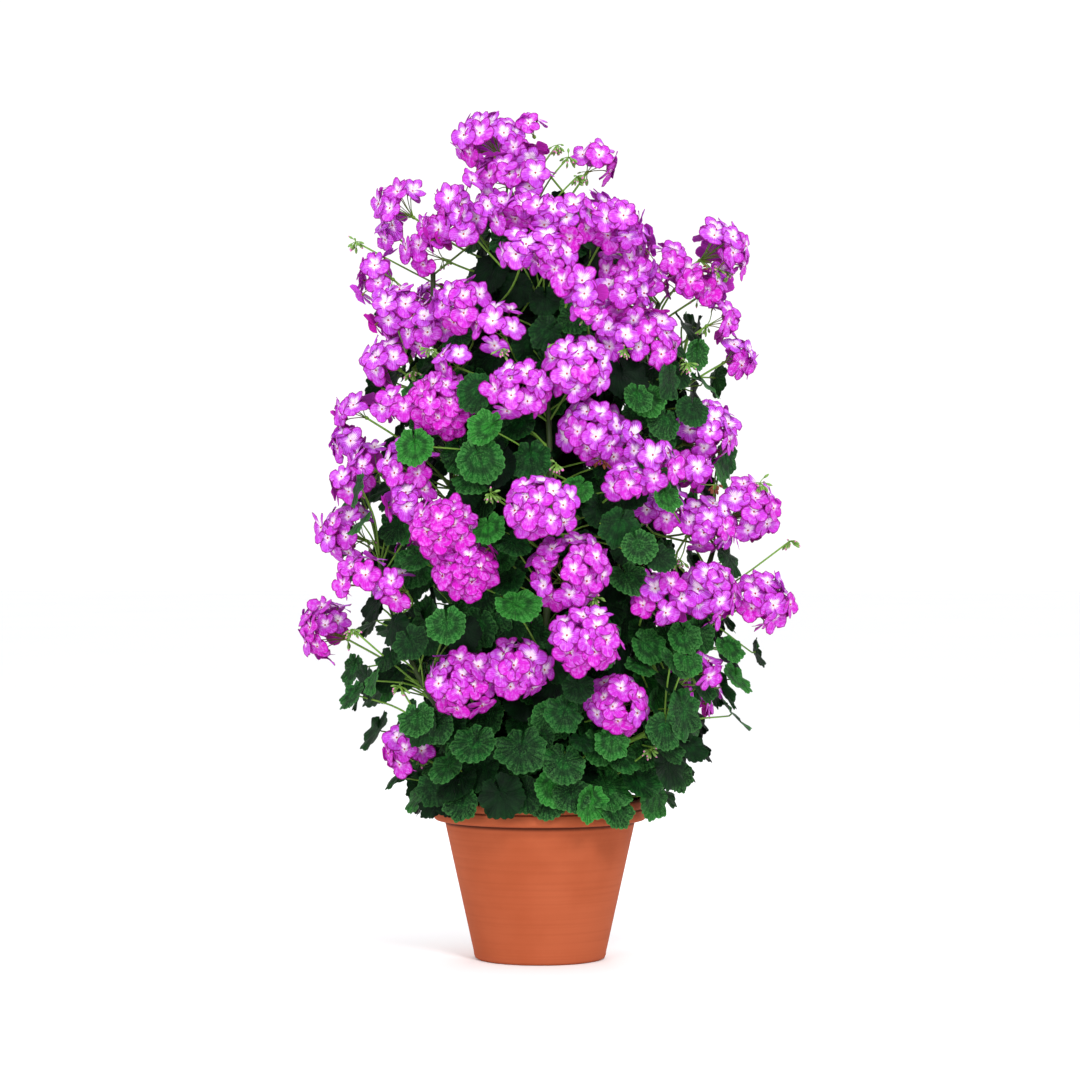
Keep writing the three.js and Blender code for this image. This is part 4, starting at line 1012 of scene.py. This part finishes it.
def hang_extra_leaves():
    """Leaves over the pot's rim, then close to every stem, then wherever there is room."""
    for i in range(RIM_LEAVES):
        turn = 2 * math.pi * (i + random.uniform(-0.3, 0.3)) / RIM_LEAVES
        out = RIM_RADIUS + random.uniform(14, 30)
        low = random.uniform(252, 300)
        try_leaf(polar(out, turn, low), *RIM_LEAF)
    for _, points, _ in stem_runs(STEM_LEAF_STEP):
        for place in points[1:]:
            turn = math.atan2(place[1] - 60, place[0]) + random.normal(0, 0.8)
            out = random.uniform(30, 80)
            centre = place + polar(out, turn, random.uniform(0, 30))
            try_leaf(centre, *STEM_LEAF)
    hung = 0
    for _ in range(EXTRA_TRIES * EXTRA_LEAVES):
        z = EXTRA_LOWEST + EXTRA_RISE * random.uniform() ** 1.25
        turn = random.uniform(0, 2 * math.pi)
        share = random.uniform(0.25 - 0.2 * z / EXTRA_TOP, 0.94 if z < UPPER_LEAVES_FROM else 0.5)
        wide, deep = reach_at(z)
        centre = vec(share * wide * math.cos(turn), share * deep * math.sin(turn), z)
        hung += try_leaf(centre, *FILL_LEAF)
        if hung == EXTRA_LEAVES:
            break


all_leaves = [blade for own in leaves.values() for blade in own]
leaf_places = [(blade.hub + blade.tip * HUB_OFF * blade.radius, blade.radius) for blade in all_leaves]
for blade in all_leaves:
    # Leaves just above the pot get a lower value, so they are darker
    low = max(0, 1 - (blade.hub[2] - POT_HEIGHT) / 140)
    blade.age = random.uniform(0.25, 0.75) - 0.2 * low
    if blade.hub[2] > UPPER_LEAVES_FROM:
        blade.radius *= UPPER_LEAF_SHARE
    if blade.hub[2] < LOW_LEAVES_TO:
        blade.radius *= LOW_LEAF_SHARE
fine_stems = Stretches(stem_runs(FINE_STEP))
extras = {node: [] for node in STEMS}
hang_extra_leaves()


# Shaders


def srgb(*colour):
    """A colour given as 0 to 255 on a screen, as the light it stands for."""
    share = [c / 255 for c in colour]
    return (*[c / 12.92 if c < 0.04045 else ((c + 0.055) / 1.055) ** 2.4 for c in share], 1)


class Value:
    """What a node gives: a number or a colour that varies over the surface."""

    def __init__(self, shader, socket):
        self.shader, self.socket = shader, socket

    def apply(self, operation, *others):
        return self.shader.node("Math", [self, *others], operation=operation)

    __add__ = functools.partialmethod(apply, "ADD")
    __sub__ = functools.partialmethod(apply, "SUBTRACT")
    __mul__ = functools.partialmethod(apply, "MULTIPLY")
    __truediv__ = functools.partialmethod(apply, "DIVIDE")
    __abs__ = functools.partialmethod(apply, "ABSOLUTE")

    def waves(self, count):
        """The absolute sine of so many times the value."""
        return abs((self * count).apply("SINE"))

    def step(self, low, high):
        """0 at low, 1 at high, and smooth between. High may be the lower one."""
        return self.shader.node("MapRange", [self, low, high, 0, 1], interpolation_type="SMOOTHSTEP")


class Shader:
    """A material with one Principled shader, and short ways to make the nodes that drive it."""

    def __init__(self, name, roughness, level):
        self.material = bpy.data.materials.new(name)
        self.material.use_nodes = True
        self.tree = self.material.node_tree
        self.inputs = next(n for n in self.tree.nodes if n.type == "BSDF_PRINCIPLED").inputs
        self.set("Roughness", roughness)
        self.set("Specular IOR Level", level)

    def give(self, socket, value):
        if isinstance(value, Value):
            self.tree.links.new(value.socket, socket)
        else:
            socket.default_value = value

    def set(self, name, value):
        """Sets one of the Principled shader's own sockets."""
        self.give(self.inputs[name], value)

    def node(self, kind, inputs=(), output=0, **settings):
        """What a new node gives. Its inputs are given in order, or by their number or name."""
        made = self.tree.nodes.new("ShaderNode" + kind)
        for name, value in settings.items():
            setattr(made, name, value)
        for key, value in inputs.items() if isinstance(inputs, dict) else enumerate(inputs):
            self.give(made.inputs[key], value)
        return Value(self, made.outputs[output])

    def place(self, layer):
        """The two parts of a UV map's place."""
        where = self.node("UVMap", uv_map=layer)
        return [self.node("SeparateXYZ", [where], axis) for axis in (0, 1)]

    def noise(self, scale, detail=2, stretch=None):
        where = self.node("TexCoord", output="Object")
        if stretch:
            where = self.node("VectorMath", [where, stretch], operation="MULTIPLY")
        return self.node("TexNoise", {"Vector": where, "Scale": scale, "Detail": detail})

    def bump(self, height, strength, distance):
        inputs = {"Strength": strength, "Distance": distance, "Height": height}
        self.set("Normal", self.node("Bump", inputs))

    def blend(self, share, one, two):
        """Between two colours. Each is given as 0 to 255, or by a node."""
        one, two = [srgb(*c) if isinstance(c, tuple) else c for c in (one, two)]
        return self.node("Mix", {0: share, 6: one, 7: two}, 2, data_type="RGBA")

    def paint(self, share, colour):
        """Lays a colour over the body's own, by a share."""
        self.body = self.blend(share, self.body, colour)

    def finished(self):
        self.set("Base Color", self.body)
        return self.material


def petal_shader(name):
    """The shader, the place beside a petal's middle, across its fan and along it, and its veins."""
    s = Shader(name, 0.65, 0.15)
    s.set("Subsurface Weight", 0.2)
    s.set("Subsurface Radius", (0.004, 0.001, 0.003))
    # Painted glow: a faint emission standing in for the light that comes through the petal
    s.set("Emission Color", srgb(200, 14, 160))
    s.set("Emission Strength", PETAL_GLOW)
    across, along = s.place("place")
    aside = across - 0.5
    fan = aside / (along * 0.6 + 0.2)
    return s, aside, fan, along, fan.waves(PETAL_VEINS)


def petal_material():
    s, aside, fan, along, veins = petal_shader("petal")
    tone, upper = s.place("tone")
    mottle = s.noise(160)
    s.body = s.blend(tone, (182, 68, 213), (193, 18, 182))
    s.paint(mottle.step(0.42, 0.66) * 0.42, (214, 146, 242))
    s.paint(veins.step(0.45, 0.08) * 0.6, (176, 8, 162))
    # A darker edge round the middle of the petal's round end: partly its own deeper colour, partly painted
    # shade where petals overlap
    over = (along - 0.55).apply("MAXIMUM", 0)
    s.paint((over * over + aside * aside).step(0.16, 0.23) * 0.95, (122, 0, 106))
    # A white throat with a rayed edge, larger on the upper petals and on the paler ones
    reach = along + abs(fan) * 0.3 + (mottle - 0.5) * 0.3 - (veins - 0.5) * 0.22 + tone * 0.3 - upper * 0.22
    s.paint(reach.step(0.52, 0.18) * 0.92, (250, 236, 252))
    # Dark guide lines in the throat, hardly seen on the lower petals
    guide = along.step(0.52, 0.3) * along.step(0.04, 0.12)
    s.paint(fan.waves(11).step(0.3, 0.08) * guide * (upper * 0.7 + 0.05), (130, 10, 90))
    s.bump(veins + mottle, 0.5, 0.001)
    return s.finished()


def petal_back_material():
    s, _, _, _, veins = petal_shader("petal_back")
    tone, _ = s.place("tone")
    s.body = s.blend(tone, (190, 74, 206), (178, 24, 160))
    s.paint(veins.step(0.5, 0.08) * 0.5, (160, 12, 140))
    s.bump(veins, 0.3, 0.0008)
    return s.finished()


def heart_material():
    s = Shader("floret_heart", 0.5, 0.3)
    s.body = s.blend(s.noise(900, 1), (206, 22, 74), (150, 12, 60))
    return s.finished()


def leaf_material(name, deep, mid, fresh, pale, vein, ridge_share, zone_share):
    s = Shader(name, 0.6, 0.12)
    spread, out = s.place("place")
    tone, age = s.place("tone")
    cloud = s.noise(42, 3)
    fine = s.noise(420, 3)
    # The second tone is the leaf's age with painted shade: it is lowest deep inside the plant, where leaves
    # are painted dark as shade, with little pale detail.
    light = age.step(0.1, 0.6)
    s.body = s.blend(cloud.step(0.3, 0.7), deep, mid)
    s.paint(age.step(0.4, 0.95) * 0.85, fresh)
    s.paint(tone.step(0.3, 0.9) * 0.6, deep)
    # Painted shade: near-black on the leaves with the lowest value, deep inside the plant
    s.paint(age.step(0.42, 0.08) * 0.8, (0, 9, 3))
    s.paint(fine.step(0.45, 0.7) * 0.3 * light, pale)
    # Painted highlights on the ridges, and vein colour with painted shade in the folds, that run out to the
    # teeth
    comb = spread.waves(math.pi * LOBES * TEETH) + (fine - 0.5) * 1.6
    s.paint(comb.step(0.45, 0.95) * out.step(0.15, 0.5) * ridge_share * light, pale)
    s.paint(comb.step(0.35, 0) * out.step(0.3, 0.8) * 0.26, vein)
    # The dark zone
    zone = out.step(0.28, 0.45) * out.step(0.74, 0.56) * cloud.step(0.25, 0.6)
    s.paint(zone * zone_share, (4, 28, 10))
    # A main vein to each lobe, which forks on its way out
    off = abs((spread * LOBES).apply("FRACT") - 0.5) * out
    fork = abs(off - (out - 0.36) * 0.42).step(0.026, 0.008) * out.step(0.36, 0.5)
    veins = off.step(0.035, 0.012).apply("MAXIMUM", fork * 0.7)
    s.paint(veins * 0.5, vein)
    s.paint(out.step(0.9, 0.99) * 0.25 * light, pale)
    s.bump((fine + comb) * 0.5 - veins, 0.45, 0.0012)
    return s.finished()


def stem_material():
    s = Shader("stem", 0.55, 0.3)
    along, _ = s.place("place")
    tone, kind = s.place("tone")
    streaks = s.noise(120, 3, (1, 1, 0.15))
    green = s.blend(streaks, (82, 128, 40), (128, 170, 62))
    woody = s.blend(streaks, (38, 56, 26), (66, 82, 40))
    s.body = s.blend(kind.step(0.3, 0.05), green, woody)
    # The florets' own stalks redden towards them
    s.paint(kind.step(0.7, 0.8) * (along + tone).step(0.4, 1.1) * 0.65, (120, 52, 40))
    s.bump(streaks, 0.3, 0.0008)
    return s.finished()


def bud_material():
    s = Shader("bud", 0.55, 0.3)
    along, _ = s.place("place")
    tone, _ = s.place("tone")
    s.body = s.blend(s.noise(500), (92, 138, 52), (132, 172, 84))
    # Most fresh buds have a pink tip, and dry ones are brown
    s.paint(along.step(0.6, 0.9) * tone.step(0.25, 0.5), (226, 110, 190))
    s.paint(tone.step(1.4, 1.6), (118, 62, 36))
    return s.finished()


def terracotta_material():
    s = Shader("terracotta", 0.8, 0.1)
    cloud = s.noise(7, 4)
    grain = s.noise(620, 3)
    turning = s.noise(9, 2, (0.3, 0.3, 26))
    s.body = s.blend(cloud.step(0.32, 0.68), (161, 78, 46), (171, 87, 55))
    s.paint(turning.step(0.4, 0.75) * 0.2, (140, 64, 36))
    s.paint(grain.step(0.6, 0.8) * 0.3, (174, 100, 70))
    height = s.node("SeparateXYZ", [s.node("TexCoord", output="Object")], 2)
    # Painted shade: dark lines in the crease under the rim and in the rim's groove
    for low, line, high, share in PAINTED_SHADE_LINES:
        s.paint(height.step(low * MM, line * MM) * height.step(high * MM, line * MM) * share, (66, 28, 16))
    s.bump(turning * 0.5 + grain * 0.25, 0.15, 0.0012)
    s.set("Roughness", cloud * 0.2 + 0.68)
    return s.finished()


def soil_material():
    s = Shader("soil", 0.95, 0.15)
    clods = s.noise(90, 4)
    s.body = s.blend(clods.step(0.35, 0.65), (34, 23, 16), (74, 54, 38))
    s.paint(s.noise(260).step(0.66, 0.74), (112, 88, 62))
    s.bump(clods, 0.8, 0.004)
    return s.finished()


petal_materials = [petal_material(), petal_back_material(), heart_material()]
green_materials = [
    stem_material(),
    leaf_material("leaf", (0, 27, 7), (7, 73, 20), (38, 126, 34), (86, 156, 78), (1, 18, 6), 0.18, 0.7),
    leaf_material("leaf_underside", (5, 34, 13), (15, 54, 23), (44, 98, 40), (56, 104, 54), (9, 38, 16),
                  0.15, 0),
    bud_material(),
]


# The plant: a piece for each leafy stem and for each group of flower heads

greens = {node: Builder() for node in STEMS}
for node, points, radii in stem_runs(FINE_STEP):
    knots = 1 + 0.16 * np.maximum(np.cos(np.arange(len(points)) * 2.1), 0) ** 6
    kind = WOODY if radii[0] > SIDE_STEM_RADIUS else GREEN
    add_tube(greens[node], points, radii * knots, 12, (random.uniform(), kind))
for node in STEMS:
    for blade in leaves[node]:
        add_leaf(greens[node], blade, FINE_LEAVES)
    for blade in extras[node]:
        add_leaf(greens[node], blade, PLAIN_LEAVES)
    for place, path in bud_clusters[node]:
        add_stalk(greens[node], path[:0:-1] + [place], 14, STALK_RADIUS * 0.9, 6)
        add_buds(greens[node], place, vec(0, 0, -0.3), 9, 14)

loose = [outer_place(x, z, 4) for x, z in LOOSE_FLORETS] + carpet_places()
for x, z in TALL_TUFTS:
    place = seen(x, z, -30)[0]
    far, sites = fine_stems.nearest(place - UP * TALL_STALK)
    best = int(np.argmin(far))
    bend = place * 0.6 + sites[best] * 0.4 + vec(*TALL_BEND)
    own = greens[fine_stems.node[best]]
    add_stalk(own, [sites[best], bend, place], 12, 1.4, 6)
    add_buds(own, place, vec(0.2, -0.4, -0.5), 10, 14)
for x, z in BUD_TUFTS + SPENT_TUFTS:
    head, place = outer_place(x, z, 8)
    bend = (head.root + place) / 2 - UP * 6
    add_stalk(greens[head.node], [head.root, bend, place], 12, 1.1, 5)
    add_buds(greens[head.node], place, vec(0, -0.6, -0.4), 11, 12, (x, z) in SPENT_TUFTS)

for number, group in enumerate(groups, 1):
    node = f"bloom_{number:02d}"
    petals = Builder()
    for head in group:
        own = greens[head.node]
        add_head(petals, own, head, [other for other in group if other is not head])
        if head.path:
            add_stalk(own, head.path[::-1] + [head.root], 16, STALK_RADIUS, 7)
        for owner, place in loose:
            if owner is head:
                face = unit(place - head.centre + random.normal(0, 12, 3))
                add_floret(petals, own, head, place, face, FLORET_REACH, random.uniform())
    petals.piece(f"{node}_petals", petal_materials, "petal", node)
for node in STEMS:
    greens[node].piece(f"{node}_leafy", green_materials, "leaf", node)


# The pot and the soil in it

RIM_FOOT = POT_HEIGHT - RIM_HEIGHT
GROOVE = POT_HEIGHT - RIM_STEP
UNDER_RIM = BODY_FOOT_RADIUS + BODY_TAPER * RIM_FOOT
INNER_FOOT = BODY_FOOT_RADIUS + BODY_TAPER * FLOOR - WALL
INNER_NECK = UNDER_RIM - WALL


def around(radius, z, *steps):
    """Points of a profile, as steps from a place on it."""
    return [(radius + out, z + up) for out, up in steps]


POT_PROFILE = [
    *around(FOOT_RADIUS, 0, (0, 0), (4, 0.5), (7.3, 2.6), (8.6, 6)),
    *[(BODY_FOOT_RADIUS + BODY_TAPER * z, z) for z in (13, *range(33, 220, 24))],
    *around(UNDER_RIM, RIM_FOOT, (-0.3, -1.5), (0.4, 0)),
    *around(RIM_RADIUS, RIM_FOOT, (-5.5, 0), (-2.8, 0.8), (-0.9, 2.6), (0, 5.6)),
    *around(RIM_RADIUS, GROOVE, (0, -3.4), (-0.8, -1.4), (-GROOVE_DEPTH, -0.6), (-GROOVE_DEPTH, 0.5),
            (-1.1, 1.4), (-0.6, 3.2)),
    *around(RIM_RADIUS, POT_HEIGHT, (-0.6, -3.6), (-1.5, -1.2), (-3.8, 0)),
    *around(MOUTH_RADIUS, POT_HEIGHT, (3, 0), (0.8, -0.8), (0, -2.6)),
    (INNER_NECK, RIM_FOOT), *around(INNER_FOOT, FLOOR, (4, 5), (0, 0)),
]


def lathed(profile, sides, relief):
    """A closed turned shape from a profile that starts and ends near the axis."""
    turns = np.arange(sides) * 2 * math.pi / sides
    rings = []
    for i, (radius, z) in enumerate(profile):
        lift = relief(i, radius, turns)
        rings.append(np.column_stack([radius * np.cos(turns), radius * np.sin(turns), z + lift]))
    points = np.concatenate([*rings, [(0, 0, profile[0][1]), (0, 0, rings[-1][:, 2].mean())]])
    faces = list(tube_faces(len(profile), sides)[sides - 2:-(sides - 2)])
    last = (len(profile) - 1) * sides
    end = len(points) - 1
    for k in range(sides):
        following = (k + 1) % sides
        faces += [(end - 1, following, k), (end, last + k, last + following)]
    return points, [(np.array(faces), 0)]


def make_pot(material):
    builder = Builder()
    builder.add(*lathed(POT_PROFILE, POT_SIDES, lambda i, radius, turns: 0 * turns))
    pot = builder.piece("terracotta_pot", [material], "terracotta", "pot")
    cutters = Builder()
    for k in range(DRAINS):
        foot = polar(DRAIN_CIRCLE, 2 * math.pi * (k + 0.5) / DRAINS, -5)
        add_tube(cutters, [foot, foot + UP * (FLOOR + 10)], [DRAIN_RADIUS] * 2, DRAIN_SIDES)
    cutter = cutters.piece("drain_cutter", [material], "terracotta")
    cut = pot.modifiers.new("drains", "BOOLEAN")
    cut.operation, cut.solver, cut.object = "DIFFERENCE", "EXACT", cutter
    graph = bpy.context.evaluated_depsgraph_get()
    mesh = bpy.data.meshes.new_from_object(pot.evaluated_get(graph))
    pot.modifiers.clear()
    pot.data = mesh
    smooth(mesh)
    bpy.data.objects.remove(cutter)


def make_soil(material):
    edge = INNER_NECK + (MOUTH_RADIUS - INNER_NECK) * (SOIL_EDGE - RIM_FOOT) / (POT_HEIGHT - RIM_FOOT)
    edge -= 2 * CLEARANCE
    profile = [(INNER_FOOT - 2 * CLEARANCE, FLOOR + CLEARANCE), (INNER_NECK - 2 * CLEARANCE, RIM_FOOT)]
    walls = len(profile)
    for share in np.linspace(1, 0.04, SOIL_RINGS):
        profile.append((edge * share, SOIL_EDGE + SOIL_CROWN * (1 - share ** 2)))
    lumps = [(random.integers(2, 40), random.uniform(0, 6.3), random.uniform(0.02, 0.16))
             for _ in range(SOIL_WAVES)]

    def relief(i, radius, turns):
        if i < walls:
            return 0 * turns
        rough = sum(np.sin(n * turns + phase + radius * pull) for n, phase, pull in lumps)
        return SOIL_WAVE_HEIGHT * rough - SOIL_SINK

    builder = Builder()
    builder.add(*lathed(profile, SOIL_SIDES, relief))
    for _ in range(CRUMBS):
        radius = edge * math.sqrt(random.uniform(0.002, 0.97))
        turn = random.uniform(0, 2 * math.pi)
        size = random.uniform(1.2, 3.4)
        place = polar(radius, turn, SOIL_EDGE + SOIL_CROWN * (1 - (radius / edge) ** 2) - 1)
        way = unit(random.normal(0, 1, 3))
        crumb = [place + way * size * share for share in (-0.8, -0.3, 0.4, 1)]
        add_tube(builder, crumb, size * random.uniform(0.35, 1, 4), 5)
    builder.piece("potting_soil", [material], "soil", "soil")


make_pot(terracotta_material())
make_soil(soil_material())


# Floor, light and camera, in metres

FLOOR_REACH = 40
AIM = (0, 0, 0.7)
# Soft lamps: name, place, width and power
LAMPS = [("key", (1.2, -4.1, 3.5), 1.3, 130), ("fill", (-2.0, -4.2, 1.6), 1.6, 45),
         ("back", (0.4, 3.4, 3.4), 2.4, 45)]
WORLD_LIGHT = 1.06


def add_floor():
    mesh = bpy.data.meshes.new("floor")
    corners = [(x * FLOOR_REACH, y * FLOOR_REACH, 0) for x, y in ((-1, -1), (1, -1), (1, 1), (-1, 1))]
    mesh.from_pydata(corners, [], [(0, 1, 2, 3)])
    s = Shader("pale_floor", 0.9, 0.1)
    s.body = s.blend(s.noise(0.7), (246, 247, 249), (250, 250, 251))
    mesh.materials.append(s.finished())
    add_object("floor", mesh)


def add_lamp(name, place, width, power):
    data = bpy.data.lights.new(name, "AREA")
    data.shape = "DISK"
    data.size = width
    data.energy = power
    lamp = add_object(name, data)
    lamp.location = place
    aim = mathutils.Vector(AIM) - lamp.location
    lamp.rotation_euler = aim.to_track_quat("-Z", "Y").to_euler()


def add_world():
    world = bpy.data.worlds.new("studio")
    world.use_nodes = True
    background = world.node_tree.nodes["Background"]
    background.inputs["Color"].default_value = (1, 1, 1, 1)
    background.inputs["Strength"].default_value = WORLD_LIGHT
    bpy.context.scene.world = world


def add_camera():
    data = bpy.data.cameras.new("camera")
    data.sensor_width = 36
    data.lens = LENS
    camera = add_object("camera", data)
    camera.location = (0, -EYE_DISTANCE * MM, EYE_HEIGHT * MM)
    camera.rotation_euler = (math.pi / 2, 0, 0)
    bpy.context.scene.camera = camera
    bpy.context.scene.view_settings.view_transform = "Standard"


add_floor()
for lamp in LAMPS:
    add_lamp(*lamp)
add_world()
add_camera()
